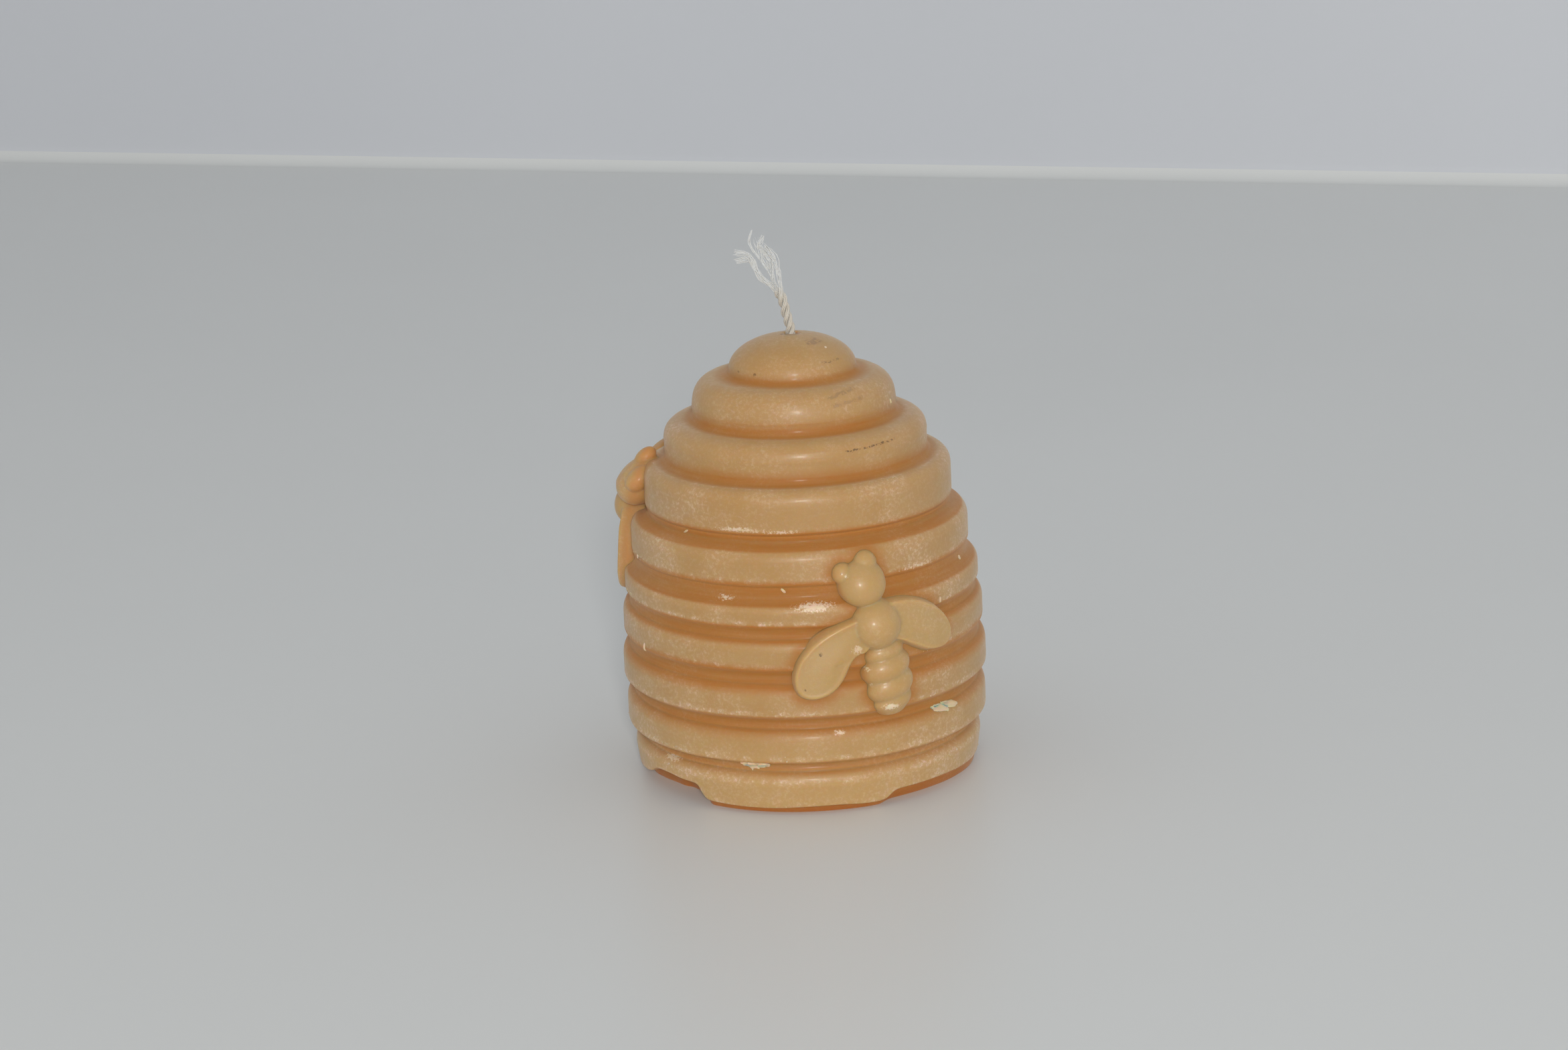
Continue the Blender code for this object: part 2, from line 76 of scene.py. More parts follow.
class Wiring:
    """Adds the nodes of one shader or geometry tree and joins their sockets."""

    def __init__(self, tree: NodeTree) -> None:
        """Takes the tree that the nodes go into."""
        self.tree = tree

    def add(self, kind: str, feeds: Feeds | None = None, **settings: object) -> Node:
        """Adds a node.

        Args:
            kind: Blender's name for the type of node.
            feeds: What goes into its inputs: sockets, or plain values.
            settings: Properties to set on the node before its inputs.

        Returns:
            The new node.
        """
        node = self.tree.nodes.new(kind)
        for name, value in settings.items():
            setattr(node, name, value)
        self.fill(node, feeds or {})
        return node

    def out(self, kind: str, feeds: Feeds | None = None, **settings: object) -> NodeSocket:
        """Adds a node, and gives its first output."""
        return self.add(kind, feeds, **settings).outputs[0]

    def fill(self, node: Node, feeds: Feeds) -> None:
        """Feeds several inputs of a node."""
        for name, value in feeds.items():
            self.feed(node.inputs[name], value)

    def feed(self, target: NodeSocket, value: Feed) -> None:
        """Joins a socket to an input, or gives the input a plain value.

        Args:
            target: The input.
            value: A socket to link, or the value to hold.
        """
        if isinstance(value, NodeSocket):
            self.tree.links.new(value, target)
        elif isinstance(value, tuple) and target.type == "RGBA" and len(value) == 3:
            target.default_value = (*value, 1.0)
        else:
            target.default_value = value

    def math(self, operation: str, *values: Feed, clamp: bool = False) -> NodeSocket:
        """Adds a Math node.

        Args:
            operation: Its operation.
            values: What goes into its inputs, in order.
            clamp: True to keep the result from 0 to 1.

        Returns:
            Its output.
        """
        return self.out("ShaderNodeMath", dict(enumerate(values)), operation=operation, use_clamp=clamp)

    def plus(self, first: Feed, second: Feed, clamp: bool = False) -> NodeSocket:
        """Adds one value to another."""
        return self.math("ADD", first, second, clamp=clamp)

    def minus(self, first: Feed, second: Feed) -> NodeSocket:
        """Takes the second value from the first."""
        return self.math("SUBTRACT", first, second)

    def times(self, first: Feed, second: Feed, clamp: bool = False) -> NodeSocket:
        """Multiplies one value by another."""
        return self.math("MULTIPLY", first, second, clamp=clamp)

    def vector(self, operation: str, *values: Feed) -> NodeSocket:
        """Adds a Vector Math node.

        Args:
            operation: Its operation.
            values: What goes into its inputs, in order; the second one of SCALE is the factor.

        Returns:
            Its output: the length of LENGTH, and otherwise a vector.
        """
        node = self.add("ShaderNodeVectorMath", operation=operation)
        for slot, value in enumerate(values):
            self.feed(node.inputs["Scale" if (operation, slot) == ("SCALE", 1) else slot], value)
        return node.outputs["Value" if operation == "LENGTH" else "Vector"]

    def parts(self, vector: Feed) -> bpy.types.NodeOutputs:
        """Splits a vector into its X, Y and Z."""
        return self.add("ShaderNodeSeparateXYZ", {0: vector}).outputs

    def turn(self, parts: bpy.types.NodeOutputs) -> NodeSocket:
        """Gives the azimuth of a place's parts, in radians."""
        return self.math("ARCTAN2", parts["X"], self.times(parts["Y"], -1.0))

    def span(self, value: Feed, low: Feed, high: Feed, start: Feed = 0.0, end: Feed = 1.0) -> NodeSocket:
        """Maps a value smoothly from one range to another, and holds it at the ends.

        Args:
            value: The value.
            low: Where the result is start.
            high: Where the result is end.
            start: The result up to low.
            end: The result from high on.

        Returns:
            The mapped value.
        """
        feeds = {"Value": value, "From Min": low, "From Max": high, "To Min": start, "To Max": end}
        return self.out("ShaderNodeMapRange", feeds, interpolation_type="SMOOTHSTEP")

    def mix(self, factor: Feed, first: Feed, second: Feed) -> NodeSocket:
        """Mixes two colours.

        Args:
            factor: The share of the second.
            first: The first colour.
            second: The second colour.

        Returns:
            The mixed colour.
        """
        return self.add("ShaderNodeMix", {0: factor, 6: first, 7: second}, data_type="RGBA").outputs[2]

    def noise(self, vector: Feed, scale: Feed, detail: float = 2.0, roughness: float = 0.5, seed: Feed = 0.0,
              output: str = "Fac") -> NodeSocket:
        """Adds a four-dimensional Noise Texture, which a seed shifts.

        Args:
            vector: Where it is read.
            scale: Its scale, in waves for each unit.
            detail: Its octaves.
            roughness: How strong the finer octaves are.
            seed: Its fourth coordinate.
            output: Fac for a value, or Color for three of them.

        Returns:
            The noise, about 0.5 on average.
        """
        feeds = {"Vector": vector, "W": seed, "Scale": scale, "Detail": detail, "Roughness": roughness}
        return self.add("ShaderNodeTexNoise", feeds, noise_dimensions="4D").outputs[output]

    def group(self, group: NodeTree, feeds: Feeds) -> bpy.types.NodeOutputs:
        """Adds a group node.

        Args:
            group: The group's tree.
            feeds: What goes into its inputs.

        Returns:
            Its outputs.
        """
        kind = "ShaderNodeGroup" if self.tree.type == "SHADER" else "GeometryNodeGroup"
        return self.add(kind, feeds, node_tree=group).outputs

    def end(self, target: NodeSocket, geometry: NodeSocket, finish: NodeSocket) -> NodeTree:
        """Ends a geometry tree: realizes its instances and sets their material.

        Args:
            target: The tree's output.
            geometry: What the tree has made.
            finish: The material.

        Returns:
            The tree.
        """
        whole = self.out("GeometryNodeRealizeInstances", {0: geometry})
        self.feed(target, self.out("GeometryNodeSetMaterial", {0: whole, "Material": finish}))
        return self.tree


class Sockets(NamedTuple):
    """A new tree's wiring, its inputs by name, and the sockets of its output node."""

    wiring: Wiring
    inputs: bpy.types.NodeOutputs
    outputs: bpy.types.NodeInputs


def new_tree(name: str, kind: str, inputs: Feeds, outputs: dict[str, str]) -> Sockets:
    """Makes a node group with named sockets.

    Args:
        name: The group's name.
        kind: ShaderNodeTree or GeometryNodeTree.
        inputs: The inputs, each with its default, or with the ending of its socket type.
        outputs: The outputs, each with the ending of its socket type.

    Returns:
        The tree's wiring, inputs and outputs.
    """
    endings = {float: "Float", int: "Int", tuple: "Vector"}
    tree = bpy.data.node_groups.new(name, kind)
    for label, value in inputs.items():
        ending = endings.get(type(value), value)
        socket = tree.interface.new_socket(label, in_out="INPUT", socket_type=f"NodeSocket{ending}")
        if value != ending:
            socket.default_value = value
    for label, ending in outputs.items():
        tree.interface.new_socket(label, in_out="OUTPUT", socket_type=f"NodeSocket{ending}")
    wiring = Wiring(tree)
    return Sockets(wiring, wiring.add("NodeGroupInput").outputs, wiring.add("NodeGroupOutput").inputs)


def evaluated(host: Object) -> Mesh:
    """Gives an object's mesh with its modifiers applied."""
    return bpy.data.meshes.new_from_object(host.evaluated_get(bpy.context.evaluated_depsgraph_get()))


def run_tree(host: Object, tree: NodeTree, values: Feeds) -> Mesh:
    """Runs a Geometry Nodes tree on an object, and removes the object.

    Args:
        host: The object whose mesh the tree takes in.
        tree: The tree.
        values: The values of its named inputs.

    Returns:
        What the tree makes, as a plain mesh.
    """
    modifier = host.modifiers.new(tree.name, "NODES")
    modifier.node_group = tree
    for socket in tree.interface.items_tree:
        if socket.in_out == "INPUT" and socket.name in values:
            modifier[socket.identifier] = values[socket.name]
    mesh = evaluated(host)
    host.modifiers.remove(modifier)
    bpy.data.objects.remove(host, do_unlink=True)
    return mesh


def new_material(name: str) -> tuple[Material, Wiring, Node]:
    """Makes a material.

    Args:
        name: Its name.

    Returns:
        The material, its wiring and its shader.
    """
    material = bpy.data.materials.new(name)
    material.use_nodes = True
    return material, Wiring(material.node_tree), material.node_tree.nodes["Principled BSDF"]


def new_object(name: str, data: Mesh | bpy.types.Camera | bpy.types.Light) -> Object:
    """Puts a mesh, a camera or a light in the scene as an object at the origin.

    Args:
        name: The name of both.
        data: What the object shows.

    Returns:
        The object.
    """
    thing = bpy.data.objects.new(name, data)
    data.name = name
    bpy.context.scene.collection.objects.link(thing)
    return thing


def mesh_of(shape: BMesh, name: str) -> Mesh:
    """Turns an edit mesh into a mesh, and frees it.

    Args:
        shape: The edit mesh.
        name: The mesh's name.

    Returns:
        The mesh.
    """
    mesh = bpy.data.meshes.new(name)
    shape.to_mesh(mesh)
    shape.free()
    return mesh


def face_outwards(mesh: Mesh, weld: float = 1e-6) -> None:
    """Merges a closed mesh's doubles and turns its faces outwards.

    Args:
        mesh: The mesh.
        weld: How near two points are merged.
    """
    shape = bmesh.new()
    shape.from_mesh(mesh)
    bmesh.ops.remove_doubles(shape, verts=shape.verts, dist=weld)
    bmesh.ops.recalc_face_normals(shape, faces=shape.faces)
    shape.to_mesh(mesh)
    shape.free()


def dress(mesh: Mesh, finish: Material, smooth: bool = True) -> None:
    """Gives a mesh one material.

    Args:
        mesh: The mesh.
        finish: The material.
        smooth: True to shade its faces smoothly.
    """
    mesh.materials.clear()
    mesh.materials.append(finish)
    if smooth:
        mesh.polygons.foreach_set("use_smooth", [True] * len(mesh.polygons))


def bridge(shape: BMesh, rows: list[list[BMVert]], closed: bool = True) -> list[BMFace]:
    """Lays a strip of faces between each row of points and the next.

    Args:
        shape: The edit mesh that takes them.
        rows: The rows, all of the same length.
        closed: True where each row is a ring.

    Returns:
        The faces, strip by strip.
    """
    faces = []
    for lower, upper in zip(rows, rows[1:]):
        for index in range(len(lower) - (not closed)):
            after = (index + 1) % len(lower)
            faces.append(shape.faces.new((lower[index], lower[after], upper[after], upper[index])))
    return faces


def fan(shape: BMesh, ring: list[BMVert], hub: BMVert) -> None:
    """Closes a ring of points with faces that meet at a hub."""
    for index, corner in enumerate(ring):
        shape.faces.new((corner, ring[(index + 1) % len(ring)], hub))


def on_candle(azimuth: float, radius: float, height: float) -> Vector:
    """Gives the point at an azimuth, a radius and a height."""
    angle = math.radians(azimuth)
    return Vector((radius * math.sin(angle), -radius * math.cos(angle), height))


class Ring(NamedTuple):
    """One ring of the skep, with the groove above it.

    The crown and the drop are its rounded upper edge, inwards and downwards, and the lip and the
    tuck its lower one. A groove under zero is a valley behind the crown's crest. The groove's
    painted shade and glow climbs its lower face by the glow and covers its crown by the shade, and
    its tone is how deep that painted shade is between its crown and the tier above it. The crease is
    a faint ridge at its brow.
    """

    radius: float
    height: float
    groove: float
    crown: float = 0.0024
    drop: float = 0.0026
    lip: float = 0.0005
    tuck: float = 0.0006
    glow: float = 0.0007
    shade: float = 0.0013
    crease: float = 0.0
    tone: float = 1.0


class Station(NamedTuple):
    """A point of the body's section: its place, its masks, and how the lower edge moves it. The groove mask paints
    shade and glow.
    """

    radius: float
    height: float
    groove: float = 0.0
    lip: float = 0.0
    fall: float = 0.0
    draw: float = 0.0


class EdgePoint(NamedTuple):
    """A point of the skirt's lower edge: its azimuth, its height, and the foot's radius there."""

    azimuth: float
    height: float
    foot: float


@dataclass(frozen=True)
class Spot:
    """A small mark in the wax, such as a pinhole, a slit or a chipped place."""

    centre: Point
    size: Point
    colour: Colour
    strength: float = 0.8


@dataclass(frozen=True)
class Scratch:
    """A broken dark line along a ring: its two azimuths, its height, rise, width and depth."""

    start: float
    end: float
    height: float
    rise: float
    width: float
    strength: float = 0.75


DARK = (0.13, 0.055, 0.02)
WHITE = (0.86, 0.74, 0.58)
SCRATCHED = (0.10, 0.045, 0.02)
WAX_SPOTS = (
    Spot((-0.0016, -0.0007, 0.0760), (0.0005, 0.0004, 0.0004), DARK, 0.6),
    Spot((-0.0091, -0.0058, 0.0710), (0.00022, 0.0004, 0.00022), DARK, 0.55),
    Spot((-0.0064, -0.0087, 0.0710), (0.00022, 0.0004, 0.00022), DARK, 0.6),
    Spot((0.0057, -0.0051, 0.0744), (0.00022, 0.0004, 0.00022), WHITE),
    Spot((-0.0175, -0.0138, 0.0644), (0.00022, 0.0006, 0.00022), WHITE),
    Spot((-0.0154, -0.0157, 0.0633), (0.00024, 0.0006, 0.00024), WHITE),
    # Partly real bloom, partly a painted highlight on the crown of the fifth ring.
    Spot((0.0018, -0.0302, 0.0363), (0.0031, 0.0020, 0.0007), WHITE, 0.7),
    Spot((-0.0132, -0.0271, 0.0375), (0.0017, 0.0020, 0.0005), WHITE, 0.6),
    Spot((0.0051, -0.0308, 0.0146), (0.0009, 0.0012, 0.0004), WHITE, 0.7),
    Spot((-0.0239, -0.0182, 0.0072), (0.0020, 0.0020, 0.0005), WHITE, 0.5),
    Spot((-0.0121, -0.0259, 0.0485), (0.0056, 0.0030, 0.00040), WHITE, 0.6),
    Spot((-0.0040, -0.0279, 0.0482), (0.0036, 0.0025, 0.00034), WHITE, 0.55),
    Spot((0.0217, -0.0238, 0.0402), (0.0050, 0.0044, 0.00036), WHITE, 0.55),
)
WAX_SCRATCHES = (
    Scratch(20.0, 49.0, 0.0600, 0.0004, 0.00022),
    Scratch(28.0, 56.0, 0.0725, 0.0001, 0.00022, 0.5),
    Scratch(18.0, 42.0, 0.0678, 0.0010, 0.00040, 0.30),
    Scratch(20.0, 44.0, 0.0666, 0.0006, 0.00045, 0.25),
    Scratch(24.0, 60.0, 0.0752, 0.0002, 0.00040, 0.35),
)
BEE_SPOTS = (
    Spot((0.0085, -0.0314, 0.0290), (0.0008, 0.0020, 0.0007), WHITE, 0.5),
    Spot((0.0098, -0.0315, 0.0254), (0.0008, 0.0020, 0.0006), WHITE, 0.6),
    Spot((0.0104, -0.0319, 0.0225), (0.0005, 0.0020, 0.0004), WHITE, 0.5),
    Spot((0.0138, -0.0305, 0.0185), (0.0014, 0.0025, 0.0006), WHITE, 0.7),
    Spot((0.0024, -0.0329, 0.0288), (0.0003, 0.0010, 0.0004), DARK, 0.75),
    Spot((-0.0004, -0.0328, 0.0229), (0.00015, 0.0010, 0.00022), DARK, 0.6),
    Spot((0.0063, -0.0309, 0.0417), (0.00018, 0.0014, 0.00018), DARK, 0.65),
    # A painted highlight on the eye.
    Spot((0.0072, -0.0309, 0.0413), (0.0004, 0.0014, 0.0003), WHITE, 0.5),
)


class Effects:
    """Shader node groups that the finishes share."""

    def __init__(self) -> None:
        """Builds each group once."""
        self.streaks = self._streaks()
        self.bloom = self._bloom()
        self.grain = self._grain()
        self.spot = self._spot()
        self.scratch = self._scratch()

    @staticmethod
    def _streaks() -> NodeTree:
        """Builds fine level streaks, such as a turned mould leaves."""
        inputs = {"Vector": "Vector", "Fineness": 1600.0, "Length": 0.05, "Seed": 0.0}
        w, given, made = new_tree("level_streaks", "ShaderNodeTree", inputs, {"Value": "Float"})
        parts = w.parts(given["Vector"])
        drawn_out = {axis: w.times(parts[axis], given["Length"]) for axis in ("X", "Y")}
        stretched = w.out("ShaderNodeCombineXYZ", {**drawn_out, "Z": parts["Z"]})
        w.feed(made["Value"], w.noise(stretched, given["Fineness"], 3.0, 0.6, given["Seed"]))
        return w.tree

    @staticmethod
    def _bloom() -> NodeTree:
        """Builds the powdery white bloom of old beeswax, in patches and along lips."""
        inputs = {"Vector": "Vector", "Lip": 0.0, "Amount": 0.5, "Patch Scale": 110.0, "Edge Scale": 420.0,
                  "Speckle Scale": 1700.0, "Speckle Share": 0.75, "Seed": 0.0}
        w, given, made = new_tree("powdery_bloom", "ShaderNodeTree", inputs, {"Mask": "Float"})
        vector, seed = given["Vector"], given["Seed"]
        patch = w.span(w.noise(vector, given["Patch Scale"], 4.0, 0.6, seed), 0.40, 0.66, 0.25, 1.0)
        speckle = w.span(w.noise(vector, given["Speckle Scale"], 3.0, 0.8, seed), 0.46, 0.66)
        torn = w.span(w.noise(vector, given["Edge Scale"], 3.0, 0.6, seed), 0.40, 0.62)
        cover = w.plus(w.times(patch, given["Amount"]), w.times(given["Lip"], torn), clamp=True)
        grainy = w.plus(w.minus(1.0, given["Speckle Share"]), w.times(speckle, given["Speckle Share"]))
        w.feed(made["Mask"], w.times(cover, grainy, clamp=True))
        return w.tree

    @staticmethod
    def _grain() -> NodeTree:
        """Builds the fine uneven skin of cast wax, as a height."""
        inputs = {"Vector": "Vector", "Coarse": 700.0, "Fine": 4200.0, "Fine Share": 0.4, "Seed": 0.0}
        w, given, made = new_tree("wax_grain", "ShaderNodeTree", inputs, {"Height": "Float"})
        coarse = w.noise(given["Vector"], given["Coarse"], 4.0, 0.55, given["Seed"])
        fine = w.noise(given["Vector"], given["Fine"], 2.0, 0.6, given["Seed"])
        coarse = w.times(coarse, w.minus(1.0, given["Fine Share"]))
        w.feed(made["Height"], w.plus(coarse, w.times(fine, given["Fine Share"])))
        return w.tree

    @staticmethod
    def _spot() -> NodeTree:
        """Builds one soft-edged and patchy spot at a place."""
        inputs = {"Vector": "Vector", "Centre": (0.0, 0.0, 0.0), "Size": (0.001, 0.001, 0.001),
                  "Raggedness": 0.00035, "Rag Scale": 3000.0, "Patch Scale": 2600.0, "Patchiness": 3.4}
        w, given, made = new_tree("single_spot", "ShaderNodeTree", inputs, {"Mask": "Float"})
        vector = given["Vector"]
        drift = w.vector("SUBTRACT", w.noise(vector, given["Rag Scale"], 2.0, 0.6, 3.0, "Color"), HALF)
        ragged = w.vector("ADD", vector, w.vector("SCALE", drift, given["Raggedness"]))
        offset = w.vector("SUBTRACT", ragged, given["Centre"])
        reach = w.vector("LENGTH", w.vector("DIVIDE", offset, given["Size"]))
        patch = w.minus(w.noise(vector, given["Patch Scale"], 3.0, 0.7, 4.0), 0.5)
        patchy = w.plus(reach, w.times(patch, given["Patchiness"]))
        w.feed(made["Mask"], w.span(patchy, 0.5, 1.2, 1.0, 0.0))
        return w.tree

    @staticmethod
    def _scratch() -> NodeTree:
        """Builds one broken line along a ring."""
        inputs = {"Vector": "Vector", "Start": 0.0, "End": 10.0, "Height": 0.0, "Rise": 0.0, "Width": 0.0002,
                  "Wander": 0.0006}
        w, given, made = new_tree("ring_scratch", "ShaderNodeTree", inputs, {"Mask": "Float"})
        vector, width = given["Vector"], given["Width"]
        parts = w.parts(vector)
        feeds = {"Value": w.math("DEGREES", w.turn(parts)), "From Min": given["Start"], "From Max": given["End"]}
        share = w.out("ShaderNodeMapRange", feeds)
        line = w.plus(given["Height"], w.times(share, given["Rise"]))
        wander = w.times(w.minus(w.noise(vector, 900.0), 0.5), given["Wander"])
        away = w.math("ABSOLUTE", w.minus(w.plus(parts["Z"], wander), line))
        inside = w.times(w.span(share, 0.0, 0.08), w.span(share, 0.92, 1.0, 1.0, 0.0))
        broken = w.span(w.noise(vector, 1700.0, 2.0, 0.7), 0.44, 0.56)
        near = w.span(away, w.times(width, 0.4), width, 1.0, 0.0)
        w.feed(made["Mask"], w.times(w.times(near, inside), broken))
        return w.tree


@dataclass(frozen=True)
class WaxFinish:
    """Translucent beeswax, with bloom, streaks, grain and single marks.

    The face and the warm colour mottle it, and the pale one lies low down. The dark orange colour
    is painted shade and glow: it fills the grooves and the creases round the bees, where the wax
    lies in shade and glows with light through it. The colour below the lower edge is painted
    shade on the undercut foot. The bloom is laid on more thickly towards the sides, partly as real
    bloom and partly as painted sheen, and a few single marks are painted highlights. A span of four
    numbers maps a value smoothly from the range of the first two to that of the last two.
    """

    name: str
    face: Colour
    deep_shade: Colour
    warm: Colour
    powder: Colour = (0.72, 0.55, 0.41)
    pale: Colour = (0.56, 0.36, 0.135)
    # The under colour and the foot amount paint the shade of the undercut foot.
    under: Colour = (0.42, 0.15, 0.024)
    low: float = 0.0
    foot: float = 0.0
    bloom: float = 0.5
    streak: float = 0.5
    mottle_scale: float = 70.0
    mottle_span: Pair = (0.35, 0.68)
    bloom_and_sheen_aside: tuple[float, ...] = (0.004, 0.026, 0.7, 1.5)
    shade_depth_aside: tuple[float, ...] = (0.006, 0.027, 0.95, 0.90)
    groove_shade_span: Pair = (0.0, 0.70)
    low_span: Pair = (0.002, 0.020)
    under_span: Pair = (1.2, 1.6)
    bee_glow_depth: float = 0.85
    streak_rest: float = 0.35
    cleared: float = 0.85
    roughness: float = 0.45
    bloom_roughness: float = 0.62
    depth_roughness: float = 0.25
    grain_roughness: float = 0.5
    glow_depth: float = 0.0016
    sheen: float = 0.12
    coat: float = 0.10
    bump: float = 0.35
    bump_height: float = 0.00015
    seed: float = 0.0
    spots: tuple[Spot, ...] = ()
    scratches: tuple[Scratch, ...] = ()

    def _marked(self, w: Wiring, effects: Effects, place: NodeSocket, colour: NodeSocket) -> NodeSocket:
        """Lays the single spots and scratches over the colour.

        Args:
            w: The material's wiring.
            effects: The shared shader groups.
            place: The place on the piece.
            colour: The colour without them.

        Returns:
            The colour with them.
        """
        for spot in self.spots:
            feeds = {"Vector": place, "Centre": spot.centre, "Size": spot.size}
            mask = w.group(effects.spot, feeds)["Mask"]
            colour = w.mix(w.times(mask, spot.strength), colour, spot.colour)
        for line in self.scratches:
            feeds = {"Vector": place, "Start": line.start, "End": line.end, "Height": line.height,
                     "Rise": line.rise, "Width": line.width}
            mask = w.group(effects.scratch, feeds)["Mask"]
            colour = w.mix(w.times(mask, line.strength), colour, SCRATCHED)
        return colour

    def material(self, effects: Effects) -> Material:
        """Builds the material.

        Args:
            effects: The shared shader groups.

        Returns:
            The material.
        """
        material, w, shader = new_material(self.name)
        place = w.add("ShaderNodeTexCoord").outputs["Object"]
        groove, lip, hug = (
            w.add("ShaderNodeAttribute", attribute_type="GEOMETRY", attribute_name=mask.value).outputs["Fac"]
            for mask in (Mask.GROOVE_SHADE, Mask.LIP, Mask.BEE_GLOW)
        )
        seeded = {"Vector": place, "Seed": self.seed}
        streak = w.group(effects.streaks, seeded)["Value"]
        grain = w.group(effects.grain, seeded)["Height"]
        parts = w.parts(place)
        aside = w.math("ABSOLUTE", parts["X"])
        # The bloom is laid on more thickly towards the sides: partly real bloom, partly painted sheen of the powder
        # where the sides are seen at a slant.
        amount = w.times(w.span(aside, *self.bloom_and_sheen_aside), self.bloom)
        bloom = w.group(effects.bloom, {**seeded, "Lip": lip, "Amount": amount})["Mask"]

        # Painted shade and glow: the dark orange colour fills the grooves by the groove mask, a little less towards
        # the sides, and the creases round the bees by the glow mask, where the real wax lies in shade and glows with
        # light through it. Level streaks ripple it, and it clears the bloom.
        groove_shade = w.times(w.span(groove, *self.groove_shade_span), w.span(aside, *self.shade_depth_aside))
        shade = w.times(w.times(w.minus(streak, 0.5), self.streak), w.plus(self.streak_rest, groove_shade))
        depth = w.plus(w.math("MAXIMUM", groove_shade, w.times(hug, self.bee_glow_depth)), shade, clamp=True)
        powder = w.times(bloom, w.minus(1.0, w.times(depth, self.cleared)))

        mottle = w.span(w.noise(place, self.mottle_scale, 3.0, 0.55, self.seed + 5.0), *self.mottle_span)
        colour = w.mix(mottle, self.face, self.warm)
        colour = w.mix(w.span(parts["Z"], *self.low_span, self.low, 0.0), colour, self.pale)
        # Lays the painted shade and glow over the wax's own colour.
        colour = w.mix(depth, colour, self.deep_shade)
        # Painted shade beneath the skirt's lower edge, on the undercut foot.
        colour = w.mix(w.span(groove, *self.under_span, 0.0, self.foot), colour, self.under)
        colour = self._marked(w, effects, place, w.mix(powder, colour, self.powder))

        rough = w.plus(self.roughness, w.times(bloom, self.bloom_roughness - self.roughness))
        rough = w.plus(rough, w.times(depth, self.depth_roughness))
        rough = w.plus(rough, w.times(w.minus(grain, 0.5), self.grain_roughness), clamp=True)
        height = w.plus(w.plus(grain, w.times(streak, 0.5)), w.times(powder, 0.5))
        bump = {"Strength": self.bump, "Distance": self.bump_height, "Height": height}
        w.fill(shader, {
            "Base Color": colour, "Roughness": rough, "Normal": w.out("ShaderNodeBump", bump), "IOR": 1.44,
            "Coat Weight": w.times(w.minus(1.0, bloom), self.coat), "Coat Roughness": 0.2, "Coat IOR": 1.44,
            "Subsurface Weight": 1.0, "Subsurface Radius": (1.0, 0.42, 0.14),
            "Subsurface Scale": self.glow_depth, "Sheen Weight": self.sheen, "Sheen Roughness": 0.45,
            "Sheen Tint": (0.96, 0.82, 0.74),
        })
        return material


@dataclass(frozen=True)
class CottonFinish:
    """Soft cotton, waxed and beige low down and white above."""

    name: str
    waxed: Colour
    clean: Colour
    wax_line: float
    fade: float
    shaded: Colour = (0.44, 0.38, 0.29)
    unevenness: float = 0.004
    fibre_scale: float = 9000.0
    dry_roughness: float = 0.9
    wax_gloss: float = 0.42

    def material(self) -> Material:
        """Builds the material, and returns it."""
        material, w, shader = new_material(self.name)
        place = w.add("ShaderNodeTexCoord").outputs["Object"]
        uneven = w.times(w.minus(w.noise(place, 600.0, 3.0, 0.6), 0.5), self.unevenness)
        height = w.plus(w.parts(place)["Z"], uneven)
        soaked = w.span(height, self.wax_line, self.wax_line + self.fade, 1.0, 0.0)
        fibre = w.noise(place, self.fibre_scale, 2.0, 0.6)
        colour = w.mix(w.span(fibre, 0.35, 0.62, 0.35, 0.0), w.mix(soaked, self.clean, self.waxed), self.shaded)
        bump = {"Strength": 0.5, "Distance": 0.00006, "Height": fibre}
        w.fill(shader, {
            "Base Color": colour, "Normal": w.out("ShaderNodeBump", bump),
            "Roughness": w.minus(self.dry_roughness, w.times(soaked, self.wax_gloss)),
            "Subsurface Weight": 0.35, "Subsurface Radius": (1.0, 0.8, 0.6), "Subsurface Scale": 0.0004,
            "Sheen Weight": 0.3, "Sheen Roughness": 0.5,
        })
        return material


